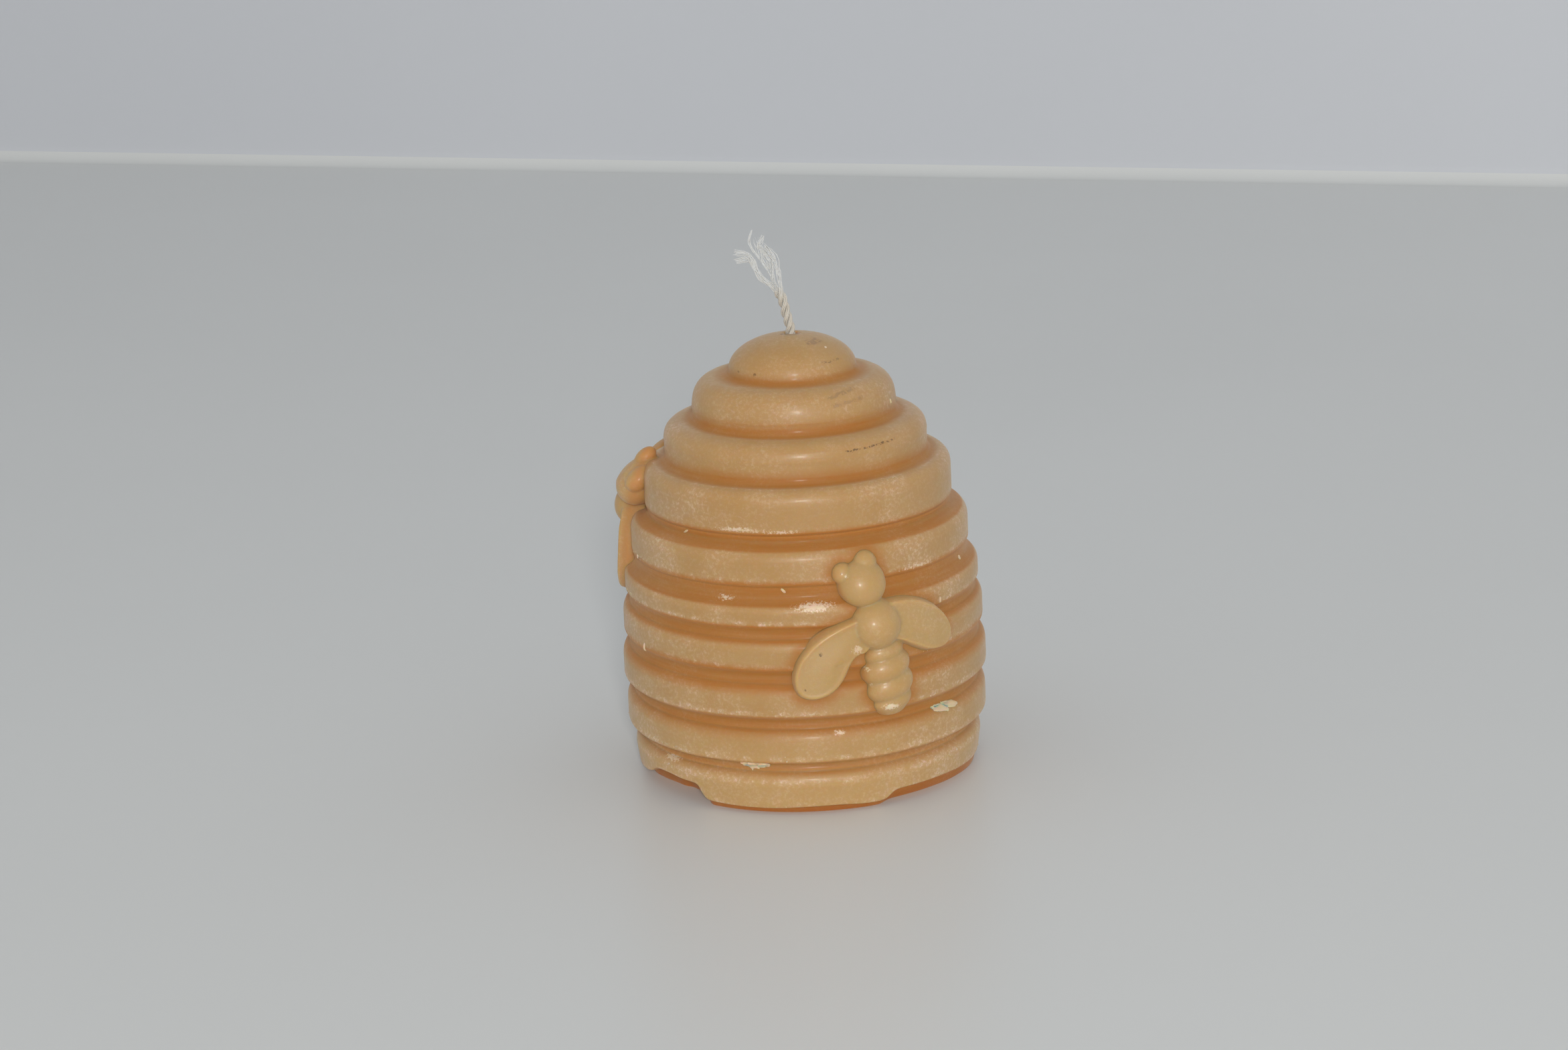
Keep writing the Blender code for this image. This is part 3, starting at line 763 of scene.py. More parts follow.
@dataclass
class SkepBody:
    """The cast wax: nine rings and a dome round the wick's bore, on a stepped and undercut foot.

    The edge is the lower one of the skirt, which is whole only at the front tongue. A lip and a
    crest are masks that fade out over their widths; the crest's pale line is partly bloom and
    partly a painted highlight along the crisp crest. A valley's painted shade fades in and out
    along its curve.
    """

    rings: tuple[Ring, ...] = (
        Ring(0.0301, 0.0068, 0.0018, shade=0.0022, tone=0.47),
        Ring(0.0312, 0.0060, 0.0020, shade=0.0028, tone=0.62),
        Ring(0.0315, 0.0060, 0.0020, shade=0.0028, tone=0.88),
        Ring(0.0311, 0.0056, 0.0017, drop=0.0024, glow=0.0016, shade=0.0016, tone=0.96),
        Ring(0.0305, 0.0041, 0.0026, crown=0.0020, drop=0.0018, glow=0.0009, shade=0.0010),
        Ring(0.0290, 0.0063, 0.0017, crown=0.0026, glow=0.0014, shade=0.0008, tone=0.94),
        Ring(0.0264, 0.0075, -0.0004, crown=0.0023, lip=0.0006, glow=0.0011, shade=0.0003, tone=0.85),
        Ring(0.0225, 0.00740, -0.00080, crown=0.0036, drop=0.0030, lip=0.0006, tuck=0.0024, glow=0.0034,
             shade=0.00030, crease=0.00006, tone=0.88),
        Ring(0.0174, 0.00805, -0.00075, crown=0.0042, drop=0.0050, lip=0.0006, tuck=0.0024, glow=0.0040,
             shade=0.00030, crease=0.00006, tone=0.74),
    )
    edge: tuple[EdgePoint, ...] = (
        EdgePoint(-180.0, 0.0024, 0.0270), EdgePoint(-145.0, 0.0020, 0.0272), EdgePoint(-110.0, 0.0022, 0.0272),
        EdgePoint(-82.0, 0.0019, 0.0274), EdgePoint(-74.0, 0.0022, 0.0266), EdgePoint(-66.0, 0.0030, 0.0255),
        EdgePoint(-60.0, 0.0043, 0.0250), EdgePoint(-55.0, 0.0045, 0.0243), EdgePoint(-47.0, 0.0042, 0.0250),
        EdgePoint(-41.5, 0.0041, 0.0266), EdgePoint(-38.5, 0.0028, 0.0275), EdgePoint(-36.0, 0.0013, 0.0283),
        EdgePoint(-18.0, 0.0011, 0.0283), EdgePoint(6.0, 0.0014, 0.0283), EdgePoint(21.5, 0.0010, 0.0285),
        EdgePoint(26.5, 0.0018, 0.0276), EdgePoint(30.5, 0.0026, 0.0270), EdgePoint(46.0, 0.0025, 0.0275),
        EdgePoint(61.0, 0.0021, 0.0284), EdgePoint(76.0, 0.0018, 0.0290), EdgePoint(100.0, 0.0019, 0.0282),
        EdgePoint(130.0, 0.0021, 0.0272), EdgePoint(180.0, 0.0024, 0.0270),
    )
    crown_squareness: float = 2.3
    crown_start: float = 62.0
    lip_end: float = -62.0
    groove_depth: float = 0.00015
    valley_depth: float = 0.00012
    valley_rise: float = 0.0014
    valley_shade: float = 0.35
    # Strength of the crest's pale line, partly a painted highlight.
    valley_crest: float = 0.8
    valley_deepening: float = 2.5
    valley_fade: float = 0.65
    valley_fade_start: float = 0.45
    crease_width: float = 0.0003
    lip_height: float = 0.0008
    lip_width: float = 0.0004
    lip_under_crest: float = 0.25
    crest_width: float = 0.00022
    crest_inset: float = 0.0001
    dome_radius: float = 0.0109
    dome_rise: float = 0.0058
    dome_side: float = 0.0018
    dome_lip: float = 0.0006
    dome_glow: float = 0.0034
    dome_crest: float = 0.0001
    bore_radius: float = 0.0012
    skirt_edge: float = 0.0009
    skirt_taper: float = 0.0006
    foot_radius: float = 0.0288
    foot_width: float = 0.0060
    ceiling_inset: float = 0.0006
    dish_radius: float = 0.0140
    dish_depth: float = 0.0006
    dish_floor: float = 0.0020
    edge_rounding: float = 0.00018
    path_radius: float = 0.0200
    curve_margin: float = 1.05
    turns: int = 300
    crown_steps: int = 9
    face_steps: int = 7
    lip_steps: int = 6
    groove_steps: int = 6
    skirt_steps: int = 10
    dome_steps: int = 18
    waviness: float = 0.00022
    wave_scale: float = 55.0
    raggedness: float = 0.00030
    chip_scale: float = 950.0
    ragged_patch_scale: float = 130.0
    # How far the painted glow and shade reaches round the bees.
    hug: float = 0.0024
    seed: float = 3.0

    def levels(self) -> list[tuple[Ring, float, float]]:
        """Gives each ring with the heights of its lower and upper lip, from the lowest up."""
        placed, bottom = [], self.skirt_edge
        for ring in self.rings:
            placed.append((ring, bottom, bottom + ring.height))
            bottom += ring.height + ring.groove
        return placed

    def dome_base(self) -> float:
        """Gives the height of the lower edge of the dome's side."""
        return self.skirt_edge + sum(ring.height + ring.groove for ring in self.rings)

    def top(self) -> float:
        """Gives the height of the wax at the axis."""
        return self.dome_base() + self.dome_side + self.dome_rise

    def envelope(self, height: float) -> float:
        """Gives the radius of the rings' faces at a height, drawn straight from ring to ring."""
        levels = self.levels()
        heights = [(low + high) / 2.0 for _, low, high in levels]
        return float(np.interp(height, heights, [ring.radius for ring, _, _ in levels]))

    @staticmethod
    def _arc(middle: Pair, half: Pair, start: float, end: float, steps: int,
             squareness: float = 2.0) -> list[Pair]:
        """Follows part of a squared ellipse.

        Args:
            middle: Its middle, as a radius and a height.
            half: Its half sizes, across and up.
            start: The first angle in degrees: 90 is straight up, 0 outwards and -90 straight down.
            end: The last angle.
            steps: The steps between the two.
            squareness: 2 for a true ellipse, and more for a squarer one.

        Returns:
            The points.
        """
        turns = np.radians(np.linspace(start, end, steps + 1))
        across = middle[0] + half[0] * np.abs(np.cos(turns)) ** (2.0 / squareness)
        up = middle[1] + half[1] * np.sign(np.sin(turns)) * np.abs(np.sin(turns)) ** (2.0 / squareness)
        return list(zip(across.tolist(), up.tolist()))

    def _masked(self, line: list[Pair], above: Pair, below: Pair, crest: float) -> list[Station]:
        """Gives the points of one tier their masks, by how far along the section they are.

        Args:
            line: The points, from the tier's upper edge to its lower one.
            above: How far the painted shade of the groove reaches from the upper edge, and how deep it is there.
            below: The same from the lower edge.
            crest: How much the upper edge counts as a lip; its pale line is partly a painted highlight.

        Returns:
            The points with their masks.
        """
        points = np.array(line)
        passed = np.concatenate(([0.0], np.cumsum(np.linalg.norm(np.diff(points, axis=0), axis=1))))
        left = passed[-1] - passed
        # Painted shade and glow of the grooves, fading in from each edge of the tier.
        near_top = np.clip(1.0 - passed / above[0], 0.0, 1.0) * above[1]
        near_end = np.clip(1.0 - left / below[0], 0.0, 1.0) * below[1]
        lower = np.exp(-((left - self.lip_height) / self.lip_width) ** 2)
        lower *= self.lip_under_crest if crest else 1.0
        # The crest's pale line, laid as lip bloom: partly bloom, partly a painted highlight along the crisp crest.
        upper = crest * np.exp(-((passed - above[0] - self.crest_inset) / self.crest_width) ** 2)
        masks = zip(np.maximum(near_top, near_end), np.maximum(lower, upper))
        return [Station(*place, *mask) for place, mask in zip(line, masks)]

    def _tier(self, ring: Ring, low: float, high: float, tone: float) -> list[Station]:
        """Follows a ring from its crown's crest, down its face, to the end of its lower lip.

        Args:
            ring: The ring.
            low: The height of its lower lip.
            high: The height of its crest.
            tone: How deep the painted shade is at its lower lip.

        Returns:
            The points.
        """
        brow, valley = high - ring.drop, ring.groove < 0.0
        line = self._arc((ring.radius - ring.crown, brow), (ring.crown, ring.drop),
                         90.0 if valley else self.crown_start, 0.0, self.crown_steps, self.crown_squareness)
        if ring is not self.rings[0]:
            heights = np.linspace(brow, low + ring.tuck, self.face_steps + 1)[1:-1]
            line += [(ring.radius, float(height)) for height in heights]
            line += self._arc((ring.radius - ring.lip, low + ring.tuck), (ring.lip, ring.tuck), 0.0,
                              self.lip_end, self.lip_steps)
        line = [(radius + ring.crease * math.exp(-((height - brow) / self.crease_width) ** 2), height)
                for radius, height in line]
        brink = (ring.shade, ring.tone * (self.valley_shade if valley else 1.0))
        return self._masked(line, brink, (ring.glow, tone), self.valley_crest if valley else 0.0)

    def _between(self, above: Station, below: Station, floor: float, tone: float) -> list[Station]:
        """Follows a groove's rounded floor from one lip to the next.

        Args:
            above: The end of the lip above.
            below: The start of the crown below.
            floor: The radius of the groove's floor.
            tone: How deep the painted shade is there.

        Returns:
            The points between the two.
        """
        stations = []
        for step in range(1, self.groove_steps + 1):
            share = step / (self.groove_steps + 1)
            radius = above.radius + (below.radius - above.radius) * share
            radius += (floor - radius) * math.sin(math.pi * share)
            height = above.height + (below.height - above.height) * share
            stations.append(Station(radius, height, tone))
        return stations

    def _valley(self, above: list[Station], below: Station, tone: float) -> list[Station]:
        """Turns the foot of an upright side out to the crest below it in a hollow curve.

        The painted shade is deepest in the inner half of the curve and fades towards the crest.

        Args:
            above: The points of the side, which lose those under the valley's floor.
            below: The crest.
            tone: How deep the painted shade is there.

        Returns:
            The points between the two.
        """
        floor = below.height - self.valley_depth
        while above[-1].height < floor + self.valley_rise:
            above.pop()
        start = above[-1]
        stations = []
        for step in range(1, self.groove_steps + 1):
            share = step / (self.groove_steps + 1)
            blend = (1.0 - share) ** 2, 2.0 * share * (1.0 - share), share ** 2
            radius = start.radius * (blend[0] + blend[1]) + below.radius * blend[2]
            height = start.height * blend[0] + floor * blend[1] + below.height * blend[2]
            deep_shade = start.groove + (tone - start.groove) * min(1.0, share * self.valley_deepening)
            faded = max(0.0, share - self.valley_fade_start) / (1.0 - self.valley_fade_start)
            deep_shade *= 1.0 - self.valley_fade * faded
            stations.append(Station(radius, height, deep_shade))
        return stations

    def section(self) -> list[Station]:
        """Draws half of the body's section as a closed outline, down the outside first."""
        side, radius, lip = self.dome_base() + self.dome_side, self.dome_radius, self.dome_lip
        start = math.degrees(math.acos(self.bore_radius / radius))
        line = self._arc((0.0, side), (radius, self.dome_rise), start, 0.0, self.dome_steps)
        line += self._arc((radius - lip, side), (lip, self.dome_side), 0.0, -90.0, self.lip_steps)[1:]
        stations = self._masked(line, (1.0, 0.0), (self.dome_glow, self.rings[-1].tone), self.dome_crest)
        # Each ring's lower lip takes the painted shade of the groove below it, which is the tone of the ring beneath.
        shade_tones = [0.0, *(ring.tone for ring in self.rings)]
        for (ring, low, high), under in reversed(list(zip(self.levels(), shade_tones))):
            tier = self._tier(ring, low, high, under)
            if ring.groove > 0.0:
                floor = min(tier[0].radius, stations[-1].radius) - self.groove_depth
                stations += self._between(stations[-1], tier[0], floor, ring.tone)
            else:
                stations += self._valley(stations, tier[0], ring.tone)
            stations += tier
        return stations + self._foot(stations[-1])

    def _foot(self, face: Station) -> list[Station]:
        """Follows the skirt down from the lowest ring's face, and the foot under it, whose masks paint the undercut's
        shade.

        Args:
            face: The outermost point of the lowest ring.

        Returns:
            The points, each with how much the lower edge and the undercut move it.
        """
        edge, small, foot = self.skirt_edge, self.edge_rounding, self.foot_radius
        low_radius = self.rings[0].radius - self.skirt_taper
        stations = []
        for share in np.linspace(1.0 / self.skirt_steps, 1.0, self.skirt_steps):
            height = face.height + (edge + small - face.height) * share
            radius = face.radius + (low_radius - face.radius) * share
            stations.append(Station(radius, height, 0.0, float(share) ** 3 * 0.6, float(share)))
        # The groove masks here paint shade: the undercut beneath the skirt's edge gets the dark colour below the lower
        # edge, and the base the full groove shade.
        ceiling = foot + self.ceiling_inset
        stations += [
            Station(low_radius - small * 0.3, edge + small * 0.3, 0.2, 0.3, 1.0),
            Station(low_radius - small * 0.6, edge, 0.5, 0.0, 1.0, 0.1),
            Station(ceiling - 0.00030, edge - 0.00002, 1.6, 0.0, 1.0, 0.6),
            Station(ceiling - 0.00040, edge - 0.00005, 1.8, 0.0, 0.98, 1.0),
            Station(foot + 0.00010, edge * 0.5, 1.8, 0.0, 0.5, 1.0),
            Station(foot, small, 1.8, 0.0, 0.0, 1.0),
            Station(foot - small, 0.0, 1.8, 0.0, 0.0, 1.0),
            Station(foot - self.foot_width, 0.0, 1.0, 0.0, 0.0, 0.3),
            Station(self.dish_radius, 0.0, 1.0),
            Station(self.bore_radius + self.dish_floor, self.dish_depth, 1.0),
            Station(self.bore_radius, self.dish_depth, 1.0),
        ]
        return stations

    def _section_object(self) -> Object:
        """Makes the section as a closed wire that carries its masks, laid out for the sweep."""
        stations = self.section()
        count = len(stations)
        mesh = bpy.data.meshes.new("body_section")
        corners = [(point.radius - self.path_radius, -point.height, 0.0) for point in stations]
        mesh.from_pydata(corners, [(index, (index + 1) % count) for index in range(count)], [])
        for label in ("groove", "lip", "fall", "draw"):
            values = mesh.attributes.new(label, "FLOAT", "POINT")
            values.data.foreach_set("value", [getattr(point, label) for point in stations])
        return new_object("body_section", mesh)

    def _curve(self, w: Wiring, share: NodeSocket, values: list[Pair]) -> NodeSocket:
        """Reads a rule of the azimuth from a smooth curve.

        Args:
            w: The wiring of the tree.
            share: The azimuth, as a share of the turn from -180 degrees.
            values: Azimuths in degrees, with lengths in metres.

        Returns:
            The length at that azimuth.
        """
        unit = self.curve_margin * max(value for _, value in values)
        node = w.add("ShaderNodeFloatCurve", {"Value": share})
        curve = node.mapping.curves[0]
        spots = [(azimuth / 360.0 + 0.5, value / unit) for azimuth, value in values]
        curve.points[0].location, curve.points[1].location = spots[0], spots[-1]
        for spot in spots[1:-1]:
            curve.points.new(*spot)
        for point in curve.points:
            point.handle_type = "AUTO_CLAMPED"
        node.mapping.update()
        return w.times(node.outputs[0], unit)

    def _tree(self) -> NodeTree:
        """Builds the tree that sweeps the section round, steps the lower edge and roughens the lips."""
        inputs = {"Geometry": "Geometry", "Path Radius": 0.02, "Turns": 64, "Waviness": 0.0, "Raggedness": 0.0,
                  "Seed": 0.0, "Bees": "Collection", "Bee Glow": 0.0015, "Finish": "Material"}
        w, given, made = new_tree("skep_body", "GeometryNodeTree", inputs, {"Geometry": "Geometry"})
        circle = {"Resolution": given["Turns"], "Radius": given["Path Radius"]}
        path = w.out("GeometryNodeCurvePrimitiveCircle", circle)
        section = w.out("GeometryNodeMeshToCurve", {"Mesh": given["Geometry"]})
        swept = w.out("GeometryNodeCurveToMesh", {"Curve": path, "Profile Curve": section})
        fall, draw, lip = (
            w.add("GeometryNodeInputNamedAttribute", {"Name": label}).outputs["Attribute"]
            for label in ("fall", "draw", Mask.LIP.value)
        )
        place = w.out("GeometryNodeInputPosition")
        parts = w.parts(place)
        share = w.plus(w.math("DIVIDE", w.turn(parts), math.tau), 0.5)
        height = self._curve(w, share, [(point.azimuth, point.height) for point in self.edge])
        radius = self._curve(w, share, [(point.azimuth, point.foot) for point in self.edge])
        slope = self.skirt_taper / (self.rings[0].height / 2.0)
        up = w.times(fall, w.minus(height, self.skirt_edge))
        out = w.plus(w.times(up, slope), w.times(draw, w.minus(radius, self.foot_radius)))

        wave = w.noise(place, self.wave_scale, 1.0, 0.4, given["Seed"], "Color")
        waves = w.parts(w.vector("SUBTRACT", wave, HALF))
        standing = w.math("LESS_THAN", parts["Z"], self.dish_depth * 1.5)
        loose = w.minus(1.0, w.math("MAXIMUM", standing, w.math("MAXIMUM", draw, fall)))
        sway = w.times(given["Waviness"], loose)
        out = w.plus(out, w.times(waves["X"], sway))
        up = w.plus(up, w.times(waves["Z"], sway))

        chip = w.minus(w.noise(place, self.chip_scale, 2.0, 0.7, given["Seed"]), 0.5)
        patch = w.noise(place, self.ragged_patch_scale, 2.0, 0.5, given["Seed"])
        where = w.span(patch, 0.46, 0.62, 0.15, 1.0)
        torn = w.times(w.times(chip, where), w.times(lip, given["Raggedness"]))
        out = w.plus(out, torn)
        up = w.minus(up, w.math("ABSOLUTE", torn))

        outward = w.vector("NORMALIZE", w.vector("MULTIPLY", place, (1.0, 1.0, 0.0)))
        offset = w.vector("ADD", w.vector("SCALE", outward, out), w.out("ShaderNodeCombineXYZ", {"Z": up}))
        moved = w.out("GeometryNodeSetPosition", {"Geometry": swept, "Offset": offset})
        # Marks the wax near the bees for the painted glow and shade in the creases round them.
        bees = w.out("GeometryNodeCollectionInfo", {"Collection": given["Bees"]})
        bees = w.out("GeometryNodeRealizeInstances", {0: bees})
        away = w.add("GeometryNodeProximity", {0: bees}).outputs["Distance"]
        hug = w.span(away, 0.0, given["Bee Glow"], 1.0, 0.0)
        marks = {"Geometry": moved, "Name": Mask.BEE_GLOW.value, "Value": hug}
        return w.end(made[0], w.out("GeometryNodeStoreNamedAttribute", marks), given["Finish"])

    def build(self, finish: Material, bees: Collection) -> Object:
        """Builds and dresses the body.

        Args:
            finish: Its material.
            bees: The collection of the bees, for the painted glow and shade round them.

        Returns:
            The body's piece, which stands for the CAD body.
        """
        values = {
            "Path Radius": self.path_radius, "Turns": self.turns, "Waviness": self.waviness,
            "Raggedness": self.raggedness, "Seed": self.seed, "Bees": bees, "Bee Glow": self.hug, "Finish": finish,
        }
        mesh = run_tree(self._section_object(), self._tree(), values)
        face_outwards(mesh)
        dress(mesh, finish)
        body = new_object("skep_wax", mesh)
        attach(body, "root")
        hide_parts("wax_body")
        return body


class Lump(NamedTuple):
    """A rounded lump of a bee: its centre and its half sizes, across, along and outwards."""

    centre: Point
    half: Point


@dataclass
class BeePattern:
    """The bee that all three are cast from, in a flat frame: across, along towards its head, and outwards.

    Each level of a wing's edge is a height from its base, the last five from its top, and how far
    it is drawn in.
    """

    thorax: Lump = Lump((-0.0008, 0.0, -0.0010), (0.0044, 0.0044, 0.0044))
    head: Lump = Lump((-0.0025, 0.0070, -0.0012), (0.0044, 0.0041, 0.0041))
    eye: Lump = Lump((-0.0059, 0.0089, -0.0006), (0.0019, 0.0019, 0.0018))
    antenna: Lump = Lump((-0.0017, 0.0104, -0.0007), (0.0023, 0.0020, 0.0022))
    abdomen: Lump = Lump((0.0009, -0.0091, -0.0012), (0.0046, 0.0070, 0.0036))
    abdomen_slant: float = 6.0
    abdomen_squareness: float = 2.8
    segments: int = 6
    segment_rings: int = 12
    segment_depth: float = 0.16
    crease_softness: float = 0.8
    crease_ends: int = 4
    crease_tilt: float = 0.08
    left_wing: tuple[Pair, ...] = (
        (-0.0020, 0.0018), (-0.0050, 0.0013), (-0.0087, -0.0001), (-0.0116, -0.0019), (-0.0138, -0.0044),
        (-0.0149, -0.0072), (-0.0148, -0.0094), (-0.0139, -0.0109), (-0.0122, -0.0115), (-0.0103, -0.0112),
        (-0.0085, -0.0102), (-0.0070, -0.0084), (-0.0059, -0.0062), (-0.0047, -0.0046), (-0.0024, -0.0034),
    )
    right_wing: tuple[Pair, ...] = (
        (0.0010, 0.0030), (0.0034, 0.0036), (0.0067, 0.0031), (0.0090, 0.0021), (0.0114, 0.0005),
        (0.0130, -0.0014), (0.0138, -0.0034), (0.0135, -0.0051), (0.0121, -0.0061), (0.0101, -0.0063),
        (0.0080, -0.0059), (0.0063, -0.0051), (0.0048, -0.0043), (0.0030, -0.0032), (0.0010, -0.0020),
    )
    wing_top: float = 0.0013
    wing_root: float = 0.0040
    wing_rim: float = 0.0008
    wing_dome: float = 0.0001
    wing_steps: int = 9
    voxel: float = 0.00017
    sides: int = 40
    ball_rings: int = 32
    relaxing: float = 0.5
    relax_rounds: int = 9

    def _ball(self, lump: Lump, rings: int) -> BMesh:
        """Makes a ball with its poles at the head and tail ends.

        Args:
            lump: Its centre and half sizes.
            rings: Its rings from pole to pole.

        Returns:
            The ball as an edit mesh.
        """
        shape = bmesh.new()
        bmesh.ops.create_uvsphere(shape, u_segments=self.sides, v_segments=rings, radius=1.0)
        turn = Matrix.Rotation(math.tau / 4.0, 4, "X")
        place = Matrix.Translation(lump.centre) @ Matrix.Diagonal((*lump.half, 1.0)) @ turn
        bmesh.ops.transform(shape, matrix=place, verts=shape.verts)
        return shape

    def _abdomen(self) -> BMesh:
        """Makes the abdomen: a barrel drawn in at slanted creases between its segments."""
        shape = self._ball(Lump((0.0, 0.0, 0.0), (1.0, 1.0, 1.0)), self.segment_rings * self.segments)
        for vertex in shape.verts:
            across, along, out = vertex.co
            tilted = max(-1.0, min(1.0, along - self.crease_tilt * across * (1.0 - along ** 2)))
            around = math.hypot(across, out)
            barrel = around ** (2.0 / self.abdomen_squareness - 1.0) if around > 1e-6 else 1.0
            wave = abs(math.sin(self.segments * math.acos(tilted)))
            crease = (1.0 - wave ** self.crease_softness) * (1.0 - abs(tilted) ** self.crease_ends)
            drawn_in = 1.0 - self.segment_depth * crease
            vertex.co.x *= barrel * drawn_in
            vertex.co.z *= barrel * drawn_in
        slant = Matrix.Rotation(math.radians(self.abdomen_slant), 4, "Z")
        place = Matrix.Translation(self.abdomen.centre) @ slant @ Matrix.Diagonal((*self.abdomen.half, 1.0))
        bmesh.ops.transform(shape, matrix=place, verts=shape.verts)
        return shape

    def _wing(self, outline: tuple[Pair, ...]) -> BMesh:
        """Makes a wing: an upright paddle with a faint rim round a slightly domed middle.

        Args:
            outline: The control points of its edge.

        Returns:
            The wing as an edit mesh.
        """
        count, top = len(outline), self.wing_top
        knots = [Vector((*point, 0.0)) for point in outline]
        line: list[Vector] = []
        for index, knot in enumerate(knots):
            after = knots[(index + 1) % count]
            lean_in = (after - knots[index - 1]) / 6.0
            lean_out = (knots[(index + 2) % count] - knot) / 6.0
            line += interpolate_bezier(knot, knot + lean_in, after - lean_out, after, self.wing_steps)[:-1]
        middle = sum(line, Vector()) / len(line)
        levels = ((-self.wing_root, -0.0006), (-0.0005, -0.0004), (top - 0.0009, 0.0), (top - 0.0003, 0.0002),
                  (top, 0.00055), (top - 0.00014, self.wing_rim + 0.0002), (top - 0.00012, 0.0022))
        shape = bmesh.new()
        rings = []
        for height, inset in levels:
            rise = Vector((0.0, 0.0, height))
            rings.append([shape.verts.new(point + (middle - point).normalized() * inset + rise) for point in line])
        bridge(shape, rings)
        for ring, height in ((rings[0], -self.wing_root), (rings[-1], top + self.wing_dome)):
            fan(shape, ring, shape.verts.new(middle + Vector((0.0, 0.0, height))))
        bmesh.ops.recalc_face_normals(shape, faces=shape.faces)
        return shape

    def flat_mesh(self) -> Mesh:
        """Joins the lumps and wings into one soft closed mesh in the flat frame."""
        shapes = [self._ball(lump, self.ball_rings) for lump in (self.thorax, self.head, self.eye, self.antenna)]
        shapes += [self._abdomen(), self._wing(self.left_wing), self._wing(self.right_wing)]
        joined = bmesh.new()
        for shape in shapes:
            part = mesh_of(shape, "bee_part")
            joined.from_mesh(part)
            bpy.data.meshes.remove(part)
        host = new_object("bee_flat", mesh_of(joined, "bee_flat"))
        remesh = host.modifiers.new("Skin", "REMESH")
        remesh.mode, remesh.voxel_size = "VOXEL", self.voxel
        relax = host.modifiers.new("Relax", "SMOOTH")
        relax.factor, relax.iterations = self.relaxing, self.relax_rounds
        flat = evaluated(host)
        bpy.data.objects.remove(host, do_unlink=True)
        return flat


@dataclass
class Bee:
    """One bee: where it sits on the rings, how far off them, how it is turned and leant, and its tone:
    an even painted shade over the whole bee.

    Its colour deepens with painted shade and glow below the shade's height, where it meets the
    rings, over the fade's length, by the depth.
    """

    node: str
    azimuth: float
    height: float
    off: float
    turn: float
    lean: float
    tone: float = 0.0
    shade: float = 0.0012
    fade: float = 0.0014
    depth: float = 0.5

    def build(self, pattern: Mesh, body: SkepBody, finish: Material, collection: Collection) -> Object:
        """Bends a copy of the flat bee round the skep and dresses it.

        Args:
            pattern: The flat bee.
            body: The skep that it sits on.
            finish: Its material.
            collection: The collection of the bees.

        Returns:
            The bee's piece, which stands for its CAD node.
        """
        mesh = pattern.copy()
        mesh.transform(Matrix.Rotation(math.radians(self.turn), 4, "Z"))
        wrap = body.envelope(self.height)
        lean = math.tan(math.radians(self.lean))
        groove_shade = mesh.attributes.new(Mask.GROOVE_SHADE.value, "FLOAT", "POINT").data
        for vertex in mesh.vertices:
            across, along, out = vertex.co
            # Painted shade and glow in the creases where the bee meets the rings, plus its even painted shade.
            faded = min(1.0, max(0.0, (self.shade - out) / self.fade))
            groove_shade[vertex.index].value = faded * self.depth + self.tone
            height = self.height + along
            reach = body.envelope(height) + self.off + along * lean + out
            vertex.co = on_candle(self.azimuth + math.degrees(across / wrap), reach, height)
        dress(mesh, finish)
        bee = new_object(self.node + "_wax", mesh)
        collection.objects.link(bee)
        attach(bee, "root")
        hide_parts(self.node)
        return bee


@dataclass(frozen=True)
class Guide:
    """A line that yarns follow: its knots above the wax, and how the yarns lie round it."""

    knots: tuple[Point, ...]
    seed: float
    yarns: int
    yarn_radius: float
    flare: float
    wobble: float
    yarn_turns: float = 0.5
    thickness: float = 0.00006
    plies: int = 1
    ply_radius: float = 0.0
    ply_turns: float = 0.0
    points: int = 32


